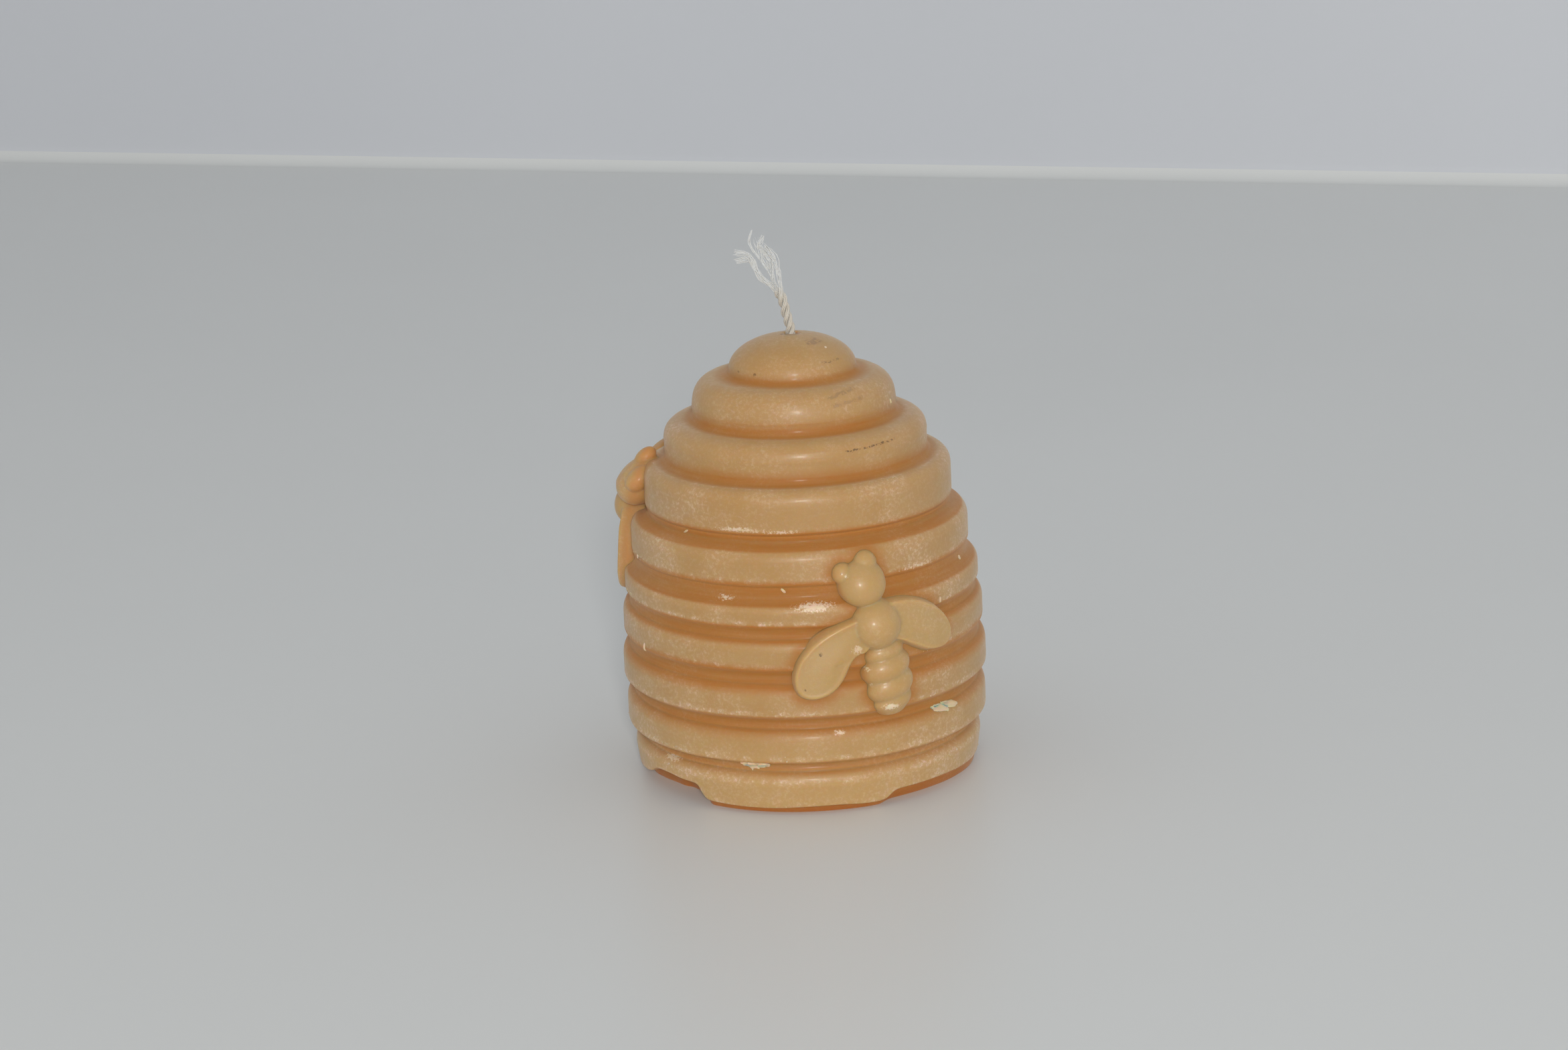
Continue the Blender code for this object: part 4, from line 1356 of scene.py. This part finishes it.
@dataclass
class Wick:
    """The cotton wick: plied yarns through the bore, bent above the dome and frayed at the end."""

    top: float
    guides: tuple[Guide, ...] = (
        Guide(((0.0, 0.0, -0.0752), (0.0, 0.0, -0.040), (0.0, 0.0, -0.010), (-0.0001, 0.0, 0.0006),
               (-0.0006, 0.0, 0.0032), (-0.0012, 0.0, 0.0058), (-0.0020, 0.0, 0.0076)),
              1.0, 6, 0.00023, 0.0, 0.00018, yarn_turns=10.0, thickness=0.00014, plies=3, ply_radius=0.00052,
              ply_turns=16.0, points=300),
        Guide(((-0.0013, -0.0002, 0.0062), (-0.0030, -0.0004, 0.0081), (-0.0046, -0.0004, 0.0095),
               (-0.0054, -0.0005, 0.0109), (-0.0058, -0.0005, 0.0122), (-0.0063, -0.0005, 0.0134),
               (-0.0073, -0.0005, 0.0141), (-0.0088, -0.0004, 0.0142)), 2.0, 13, 0.00034, 0.5, 0.0012),
        Guide(((-0.0014, 0.0001, 0.0064), (-0.0031, 0.0001, 0.0084), (-0.0046, 0.0001, 0.0098),
               (-0.0055, 0.0001, 0.0112), (-0.0060, 0.0000, 0.0124), (-0.0071, -0.0002, 0.0130),
               (-0.0088, -0.0003, 0.0127)), 3.0, 11, 0.00034, 0.5, 0.0012),
        Guide(((-0.0012, -0.0001, 0.0064), (-0.0014, -0.0003, 0.0088), (-0.0018, -0.0004, 0.0112),
               (-0.0022, -0.0004, 0.0129), (-0.0029, -0.0002, 0.0140), (-0.0038, 0.0000, 0.0149)),
              4.0, 12, 0.00030, 0.8, 0.0012),
        Guide(((-0.0016, 0.0003, 0.0068), (-0.0026, 0.0005, 0.0088), (-0.0028, 0.0006, 0.0107),
               (-0.0030, 0.0006, 0.0122), (-0.0037, 0.0005, 0.0138), (-0.0045, 0.0004, 0.0151)),
              5.0, 12, 0.00036, 0.8, 0.0014),
        Guide(((-0.0030, 0.0000, 0.0098), (-0.0038, 0.0000, 0.0113), (-0.0046, 0.0000, 0.0127),
               (-0.0057, 0.0001, 0.0143), (-0.0063, 0.0002, 0.0160), (-0.0058, 0.0002, 0.0178)),
              6.0, 7, 0.00015, 0.4, 0.0005, 0.4),
        Guide(((-0.0034, 0.0003, 0.0110), (-0.0043, 0.0003, 0.0127), (-0.0048, 0.0003, 0.0145),
               (-0.0052, 0.0003, 0.0164)), 7.0, 6, 0.00020, 1.4, 0.0008, 0.4, 0.00005),
        Guide(((-0.0030, 0.0003, 0.0122), (-0.0040, 0.0003, 0.0138), (-0.0046, 0.0003, 0.0152),
               (-0.0039, 0.0003, 0.0168)), 8.0, 7, 0.00018, 1.0, 0.0008, 0.4),
    )
    steps: int = 14
    sides: int = 5
    packing: Pair = (0.35, 1.0)
    packing_seed: int = 7
    full_count: float = 7.0
    drift_scale: float = 330.0
    seed_step: float = 3.7
    looseness: Pair = (0.15, 1.6)
    taper_start: float = 0.72

    def _line(self, guide: Guide) -> list[Vector]:
        """Rounds a guide's knots into a smooth line.

        Args:
            guide: The guide.

        Returns:
            The points of the line.
        """
        knots = [Vector(knot) + Vector((0.0, 0.0, self.top)) for knot in guide.knots]
        ends = [knots[0] * 2.0 - knots[1], *knots, knots[-1] * 2.0 - knots[-2]]
        line: list[Vector] = []
        for index in range(1, len(knots)):
            before, start, end, after = ends[index - 1:index + 3]
            near = (end - start).length
            lean_in = (end - before).normalized() * near / 3.0
            lean_out = (after - start).normalized() * near / 3.0
            line += interpolate_bezier(start, start + lean_in, end - lean_out, end, self.steps)[:-1]
        return [*line, knots[-1]]

    def _spread(self) -> NodeTree:
        """Builds a group that lays copies of each curve round it, twisted like a rope."""
        inputs = {"Curve": "Geometry", "Count": 3, "Radius": 0.0005, "Turns": 2.0, "Flare": 0.0, "Wobble": 0.0,
                  "Seed": 0.0}
        w, given, made = new_tree("twisted_copies", "GeometryNodeTree", inputs, {"Curve": "Geometry"})
        amount = {"Geometry": given["Curve"], "Amount": given["Count"]}
        copies = w.add("GeometryNodeDuplicateElements", amount, domain="SPLINE").outputs
        number = copies["Duplicate Index"]
        share = w.add("GeometryNodeSplineParameter").outputs["Factor"]
        turn = w.plus(w.math("DIVIDE", number, given["Count"]), w.times(share, given["Turns"]))
        turn = w.times(turn, math.tau)
        normal = w.out("GeometryNodeInputNormal")
        side = w.vector("CROSS_PRODUCT", w.out("GeometryNodeInputTangent"), normal)
        ray = w.vector("ADD", w.vector("SCALE", normal, w.math("COSINE", turn)),
                       w.vector("SCALE", side, w.math("SINE", turn)))
        feeds = {2: self.packing[0], 3: self.packing[1], "ID": number, "Seed": self.packing_seed}
        uneven = w.add("FunctionNodeRandomValue", feeds, data_type="FLOAT").outputs[1]
        few = w.math("LESS_THAN", given["Count"], self.full_count)
        packed = w.math("MINIMUM", 1.0, w.plus(uneven, few))
        flare = w.plus(1.0, w.times(given["Flare"], w.math("POWER", share, 2.0)))
        reach = w.times(w.times(given["Radius"], packed), flare)
        own = w.plus(w.times(number, self.seed_step), given["Seed"])
        drift = w.noise(w.out("GeometryNodeInputPosition"), self.drift_scale, 2.0, 0.6, own, "Color")
        drift = w.vector("SUBTRACT", drift, HALF)
        least, growth = self.looseness
        loose = w.times(given["Wobble"], w.plus(least, w.times(share, growth)))
        offset = w.vector("ADD", w.vector("SCALE", ray, reach), w.vector("SCALE", drift, loose))
        moved = {"Geometry": copies["Geometry"], "Offset": offset}
        w.feed(made[0], w.out("GeometryNodeSetPosition", moved))
        return w.tree

    def _tree(self) -> NodeTree:
        """Builds the tree that turns a line into plied yarns."""
        inputs = {
            "Geometry": "Geometry", "Plies": 3, "Ply Radius": 0.0, "Ply Turns": 0.0, "Yarns": 6, "Yarn Radius": 0.0,
            "Yarn Turns": 0.0, "Thickness": 0.0001, "Flare": 0.0, "Wobble": 0.0, "Seed": 0.0, "Sides": 6,
            "Points": 60, "Finish": "Material",
        }
        w, given, made = new_tree("plied_yarn", "GeometryNodeTree", inputs, {"Geometry": "Geometry"})
        spread, seed = self._spread(), given["Seed"]
        line = w.out("GeometryNodeMeshToCurve", {"Mesh": given["Geometry"]})
        line = w.out("GeometryNodeResampleCurve", {"Curve": line, "Count": given["Points"]})
        plies = w.group(spread, {"Curve": line, "Count": given["Plies"], "Radius": given["Ply Radius"],
                                 "Turns": given["Ply Turns"], "Seed": seed})[0]
        yarns = w.group(spread, {"Curve": plies, "Count": given["Yarns"], "Radius": given["Yarn Radius"],
                                 "Turns": given["Yarn Turns"], "Flare": given["Flare"],
                                 "Wobble": given["Wobble"], "Seed": seed})[0]
        share = w.add("GeometryNodeSplineParameter").outputs["Factor"]
        thin = w.span(share, self.taper_start, 1.0, 1.0, w.minus(1.0, w.times(given["Flare"], 0.5)))
        circle = {"Resolution": given["Sides"], "Radius": given["Thickness"]}
        section = w.out("GeometryNodeCurvePrimitiveCircle", circle)
        tube = {"Curve": yarns, "Profile Curve": section, "Scale": thin, "Fill Caps": True}
        return w.end(made[0], w.out("GeometryNodeCurveToMesh", tube), given["Finish"])

    def build(self, finish: Material) -> Object:
        """Builds and dresses the wick.

        Args:
            finish: Its material.

        Returns:
            The wick's piece, which stands for the CAD wick.
        """
        tree = self._tree()
        joined = bmesh.new()
        for guide in self.guides:
            line = self._line(guide)
            mesh = bpy.data.meshes.new("yarn_line")
            mesh.from_pydata(line, [(index, index + 1) for index in range(len(line) - 1)], [])
            values = {
                "Plies": guide.plies, "Ply Radius": guide.ply_radius, "Ply Turns": guide.ply_turns,
                "Yarns": guide.yarns, "Yarn Radius": guide.yarn_radius, "Yarn Turns": guide.yarn_turns,
                "Thickness": guide.thickness, "Flare": guide.flare, "Wobble": guide.wobble, "Seed": guide.seed,
                "Sides": self.sides, "Points": guide.points, "Finish": finish,
            }
            joined.from_mesh(run_tree(new_object("yarn_line", mesh), tree, values))
        mesh = mesh_of(joined, "wick_cotton")
        face_outwards(mesh, 1e-7)
        dress(mesh, finish)
        wick = new_object("wick_cotton", mesh)
        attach(wick, "root")
        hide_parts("wick")
        return wick


@dataclass(frozen=True)
class Flake:
    """A loose flake of wax that lies on a ring: where, its length and width, and how it is turned."""

    azimuth: float
    height: float
    length: float
    width: float
    turn: float
    thick: float = 0.00016
    seed: int = 0


@dataclass
class Crumbs:
    """Loose wax on the rings: fine crumbs along the lips, and single flakes.

    Each crumb's scale lies between the smallest and the largest. A flake's outline has so many
    corners, is squared by the power, and wanders by the jag about its least size.
    """

    density: float = 2600000.0
    size: float = 0.00010
    smallest: Point = (0.5, 0.4, 0.3)
    largest: Point = (1.9, 1.4, 0.9)
    patch_scale: float = 130.0
    patch_seed: float = 3.0
    patch_span: Pair = (0.50, 0.66)
    seed: int = 4
    corners: int = 30
    power: float = 0.55
    least: float = 0.62
    jag: float = 0.7
    softening: float = 0.4
    sink: float = 0.00006
    wrap_radius: float = 0.030
    cast_radius: float = 0.05
    flakes: tuple[Flake, ...] = (
        Flake(-19.0, 0.0086, 0.0052, 0.0010, 0.0, 0.00050, 1),
        Flake(-18.6, 0.0086, 0.0017, 0.0019, 8.0, 0.00055, 2),
        Flake(47.2, 0.0148, 0.0038, 0.0012, -13.0, 0.00014, 3),
        Flake(51.4, 0.0149, 0.0038, 0.0010, -11.0, 0.00014, 15),
        Flake(-6.5, 0.0389, 0.0009, 0.0004, -45.0, 0.00022, 4),
        Flake(-46.8, 0.0469, 0.0014, 0.0003, 25.0, 0.00018, 5),
        Flake(69.0, 0.0648, 0.0009, 0.0004, -60.0, 0.00020, 6),
        Flake(69.5, 0.0380, 0.0010, 0.0005, -50.0, 0.00020, 7),
        Flake(48.4, 0.0337, 0.0010, 0.0002, 88.0, 0.00022, 8),
        Flake(-60.8, 0.0262, 0.0014, 0.0003, 80.0, 0.00022, 9),
        Flake(-73.0, 0.0403, 0.0007, 0.0005, 70.0, 0.00016, 11),
        Flake(150.0, 0.0190, 0.0032, 0.0009, 14.0, 0.00020, 12),
        Flake(-150.0, 0.0505, 0.0020, 0.0007, -20.0, 0.00018, 13),
        Flake(110.0, 0.0270, 0.0012, 0.0004, 40.0, 0.00018, 14),
    )

    def _tree(self) -> NodeTree:
        """Builds the tree that scatters fine crumbs where the lips are ragged."""
        inputs = {"Geometry": "Geometry", "Density": 1e6, "Size": 0.0001, "Seed": 0, "Finish": "Material"}
        w, given, made = new_tree("lip_crumbs", "GeometryNodeTree", inputs, {"Geometry": "Geometry"})

        def between(low: Point, high: Point) -> NodeSocket:
            """Draws a vector for each crumb."""
            feeds = {0: low, 1: high, "Seed": given["Seed"]}
            return w.out("FunctionNodeRandomValue", feeds, data_type="FLOAT_VECTOR")

        lip = w.add("GeometryNodeInputNamedAttribute", {"Name": Mask.LIP.value}).outputs["Attribute"]
        patch = w.noise(w.out("GeometryNodeInputPosition"), self.patch_scale, 2.0, 0.5, self.patch_seed)
        share = w.times(w.math("POWER", lip, 3.0), w.span(patch, *self.patch_span))
        points = w.out("GeometryNodeDistributePointsOnFaces", {
            "Mesh": given["Geometry"], "Density": w.times(share, given["Density"]), "Seed": given["Seed"],
        })
        laid = w.out("GeometryNodeInstanceOnPoints", {
            "Points": points,
            "Instance": w.out("GeometryNodeMeshIcoSphere", {"Radius": given["Size"], "Subdivisions": 1}),
            "Rotation": between((0.0, 0.0, 0.0), (6.3, 6.3, 6.3)),
            "Scale": between(self.smallest, self.largest),
        })
        return w.end(made[0], laid, given["Finish"])

    def _lay(self, shape: BMesh, flake: Flake, surface: BVHTree) -> None:
        """Drapes one flake over what it lies on.

        Args:
            shape: The edit mesh that takes it.
            flake: The flake.
            surface: The wax that it lies on.
        """
        jag = np.random.default_rng(flake.seed).random(self.corners)
        softened = jag + self.softening * np.roll(jag, 1) + self.softening * np.roll(jag, -1)
        jag = self.least + self.jag * softened / (1.0 + 2.0 * self.softening)
        turn, thick = math.radians(flake.turn), flake.thick
        rings = []
        for share, lift in ((1.0, -self.sink), (0.96, thick * 0.6), (0.6, thick), (0.0, thick)):
            ring = []
            for index in range(self.corners if share else 1):
                angle = math.tau * index / self.corners
                squared = [math.copysign(abs(part) ** self.power, part) for part in (math.cos(angle), math.sin(angle))]
                along = squared[0] * flake.length / 2.0 * jag[index] * share
                across = squared[1] * flake.width / 2.0 * jag[(index + 7) % self.corners] * share
                side = along * math.cos(turn) - across * math.sin(turn)
                rise = along * math.sin(turn) + across * math.cos(turn)
                azimuth = flake.azimuth + math.degrees(side / self.wrap_radius)
                start = on_candle(azimuth, self.cast_radius, flake.height + rise)
                inward = Vector((-start.x, -start.y, 0.0)).normalized()
                hit, normal, _, _ = surface.ray_cast(start, inward)
                ring.append(shape.verts.new(hit + normal * lift))
            rings.append(ring)
        bridge(shape, rings[:-1])
        fan(shape, rings[2], rings[3][0])
        shape.faces.new(tuple(reversed(rings[0])))

    def build(self, body: Object, finish: Material) -> Object:
        """Scatters the crumbs, lays the flakes and dresses them.

        Args:
            body: The wax body's piece.
            finish: Their material.

        Returns:
            The crumbs as one piece.
        """
        host = new_object("crumb_host", body.data.copy())
        values = {"Density": self.density, "Size": self.size, "Seed": self.seed, "Finish": finish}
        shape = bmesh.new()
        shape.from_mesh(run_tree(host, self._tree(), values))
        surface = BVHTree.FromObject(body, bpy.context.evaluated_depsgraph_get())
        for flake in self.flakes:
            self._lay(shape, flake, surface)
        mesh = mesh_of(shape, "wax_crumbs")
        face_outwards(mesh, 1e-8)
        dress(mesh, finish, smooth=False)
        piece = new_object("wax_crumbs", mesh)
        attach(piece, "root")
        return piece


@dataclass
class Studio:
    """The table, the wall behind it, the soft light and the camera.

    The edge's two points are where the wall meets the table, and the cove is the rounding there.
    """

    eye: Point = (-0.002644, -0.55498, 0.19402)
    pitch: float = 15.29
    roll: float = -2.598
    lens: float = 50.0
    sensor: float = 23.5
    clip: Pair = (0.01, 20.0)
    edge_left: Pair = (-0.304, 0.751)
    edge_right: Pair = (0.262, 0.536)
    cove: float = 0.006
    cove_steps: int = 12
    depths: tuple[float, ...] = (-2.2, -1.0, -0.5, -0.2)
    sides: tuple[float, ...] = (-2.0, -0.7, 0.0, 0.7, 2.0)
    wall_heights: Pair = (0.4, 1.6)
    table_colour: Colour = (0.74, 0.75, 0.74)
    wall_colour: Colour = (0.665, 0.68, 0.715)
    table_roughness: float = 0.38
    wall_roughness: float = 0.6
    cloud_scale: float = 6.0
    cloud_shade: float = 0.94
    lamp_place: Point = (0.06, -1.45, 0.50)
    lamp_aim: Point = (0.0, 0.0, 0.045)
    lamp_size: float = 0.16
    lamp_power: float = 13.2
    lamp_colour: Colour = (1.0, 0.985, 0.96)
    air_colour: Colour = (0.97, 0.99, 1.0)
    air_strength: float = 0.49

    def _surface(self, name: str, colour: Colour, roughness: float, seed: float) -> Material:
        """Makes the finish of the table or the wall.

        Args:
            name: The material's name.
            colour: Its colour.
            roughness: Its roughness.
            seed: Shifts its pattern.

        Returns:
            The material.
        """
        material, w, shader = new_material(name)
        place = w.add("ShaderNodeTexCoord").outputs["Object"]
        cloud = w.noise(place, self.cloud_scale, 3.0, 0.5, seed)
        darker = tuple(channel * self.cloud_shade for channel in colour)
        w.fill(shader, {"Base Color": w.mix(cloud, colour, darker), "Roughness": roughness,
                        "Specular IOR Level": 0.35})
        return material

    def _table(self) -> None:
        """Lays the table and the wall as one sheet with a rounded corner."""
        left, right = Vector(self.edge_left), Vector(self.edge_right)
        along = (right - left).normalized()
        back = Vector((-along.y, along.x))
        middle = (left + right) / 2.0
        profile = [(depth, 0.0) for depth in (*self.depths, -self.cove)]
        for step in range(1, self.cove_steps + 1):
            angle = math.radians(90.0 / self.cove_steps * step)
            profile.append((-self.cove + self.cove * math.sin(angle), self.cove * (1.0 - math.cos(angle))))
        profile += [(0.0, height) for height in self.wall_heights]
        shape = bmesh.new()
        rows = [
            [shape.verts.new((*(middle + back * depth + along * side), height)) for side in self.sides]
            for depth, height in profile
        ]
        strips = len(self.sides) - 1
        for index, face in enumerate(bridge(shape, rows, closed=False)):
            face.material_index = 1 if index // strips > self.cove_steps else 0
            face.smooth = True
        mesh = mesh_of(shape, "table_and_wall")
        mesh.materials.append(self._surface("pale_table", self.table_colour, self.table_roughness, 1.0))
        mesh.materials.append(self._surface("pale_wall", self.wall_colour, self.wall_roughness, 2.0))
        new_object("table_and_wall", mesh)

    def _lamp(self) -> None:
        """Hangs the soft square lamp."""
        light = bpy.data.lights.new("key_lamp", "AREA")
        light.shape, light.size = "SQUARE", self.lamp_size
        light.energy, light.color = self.lamp_power, self.lamp_colour
        lamp = new_object("key_lamp", light)
        lamp.location = self.lamp_place
        lamp.rotation_mode = "QUATERNION"
        lamp.rotation_quaternion = (Vector(self.lamp_aim) - Vector(self.lamp_place)).to_track_quat("-Z", "Y")

    def _camera(self) -> None:
        """Sets up the camera at the photograph's angle."""
        pitch, roll = math.radians(self.pitch), math.radians(self.roll)
        forward = Vector((0.0, math.cos(pitch), -math.sin(pitch)))
        level_up, level_right = Vector((0.0, math.sin(pitch), math.cos(pitch))), Vector((1.0, 0.0, 0.0))
        right = level_right * math.cos(roll) + level_up * math.sin(roll)
        up = level_up * math.cos(roll) - level_right * math.sin(roll)
        data = bpy.data.cameras.new("photo_camera")
        data.lens, data.sensor_width, data.sensor_fit = self.lens, self.sensor, "HORIZONTAL"
        data.clip_start, data.clip_end = self.clip
        camera = new_object("photo_camera", data)
        turn = Matrix((right, up, -forward)).transposed().to_4x4()
        camera.matrix_world = Matrix.Translation(self.eye) @ turn
        bpy.context.scene.camera = camera

    def _air(self) -> None:
        """Fills the room with even light, and shows colours as they are."""
        world = bpy.data.worlds.new("studio_air")
        bpy.context.scene.world = world
        world.use_nodes = True
        feeds = {"Color": self.air_colour, "Strength": self.air_strength}
        Wiring(world.node_tree).fill(world.node_tree.nodes["Background"], feeds)
        bpy.context.scene.view_settings.view_transform = "Standard"

    def build(self) -> None:
        """Sets up the table, light and camera."""
        self._table()
        self._lamp()
        self._air()
        self._camera()


def report(piece: Object) -> None:
    """Logs a finished piece with its number of faces."""
    LOG.info("%s: %d faces", piece.name, len(piece.data.polygons))


def main() -> None:
    """Builds and dresses the candle in order, and sets up the studio round it."""
    logging.basicConfig(level=logging.INFO, format="%(message)s", stream=sys.stdout)
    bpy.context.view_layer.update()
    effects = Effects()
    body = SkepBody()
    body_wax = WaxFinish("candle_wax", face=(0.47, 0.285, 0.108), deep_shade=(0.42, 0.165, 0.024),
                         warm=(0.45, 0.262, 0.090), low=0.5, foot=1.0, spots=WAX_SPOTS, scratches=WAX_SCRATCHES)
    bee_wax = WaxFinish("bee_wax", face=(0.50, 0.326, 0.128), deep_shade=(0.48, 0.235, 0.07), warm=(0.48, 0.298, 0.106),
                        bloom=0.3, streak=0.0, roughness=0.44, glow_depth=0.0026, coat=0.2, seed=9.0,
                        spots=BEE_SPOTS)
    crumb_wax = WaxFinish("crumb_wax", face=(0.76, 0.58, 0.38), deep_shade=(0.7, 0.5, 0.3), warm=(0.74, 0.55, 0.34),
                          streak=0.0, glow_depth=0.0004, seed=12.0)
    cotton = CottonFinish("cotton", waxed=(0.59, 0.545, 0.475), clean=(0.75, 0.755, 0.74),
                          wax_line=body.top() + 0.0055, fade=0.004)
    bees, bee_finish = bpy.data.collections.new("bees"), bee_wax.material(effects)
    pattern = BeePattern().flat_mesh()
    for bee in (
        Bee("front_bee", 24.0, 0.0325, 0.0002, 0.0, 0.0),
        # The left bee, seen edge-on at the side, gets an even painted shade.
        Bee("left_bee", -103.0, 0.0455, 0.0013, -60.0, 6.0, 0.16),
        Bee("back_bee", 152.0, 0.0390, 0.0006, 12.0, 2.0),
    ):
        report(bee.build(pattern, body, bee_finish, bees))
    skep = body.build(body_wax.material(effects), bees)
    report(skep)
    report(Wick(body.top()).build(cotton.material()))
    report(Crumbs().build(skep, crumb_wax.material(effects)))
    Studio().build()


if __name__ == "__main__":
    main()
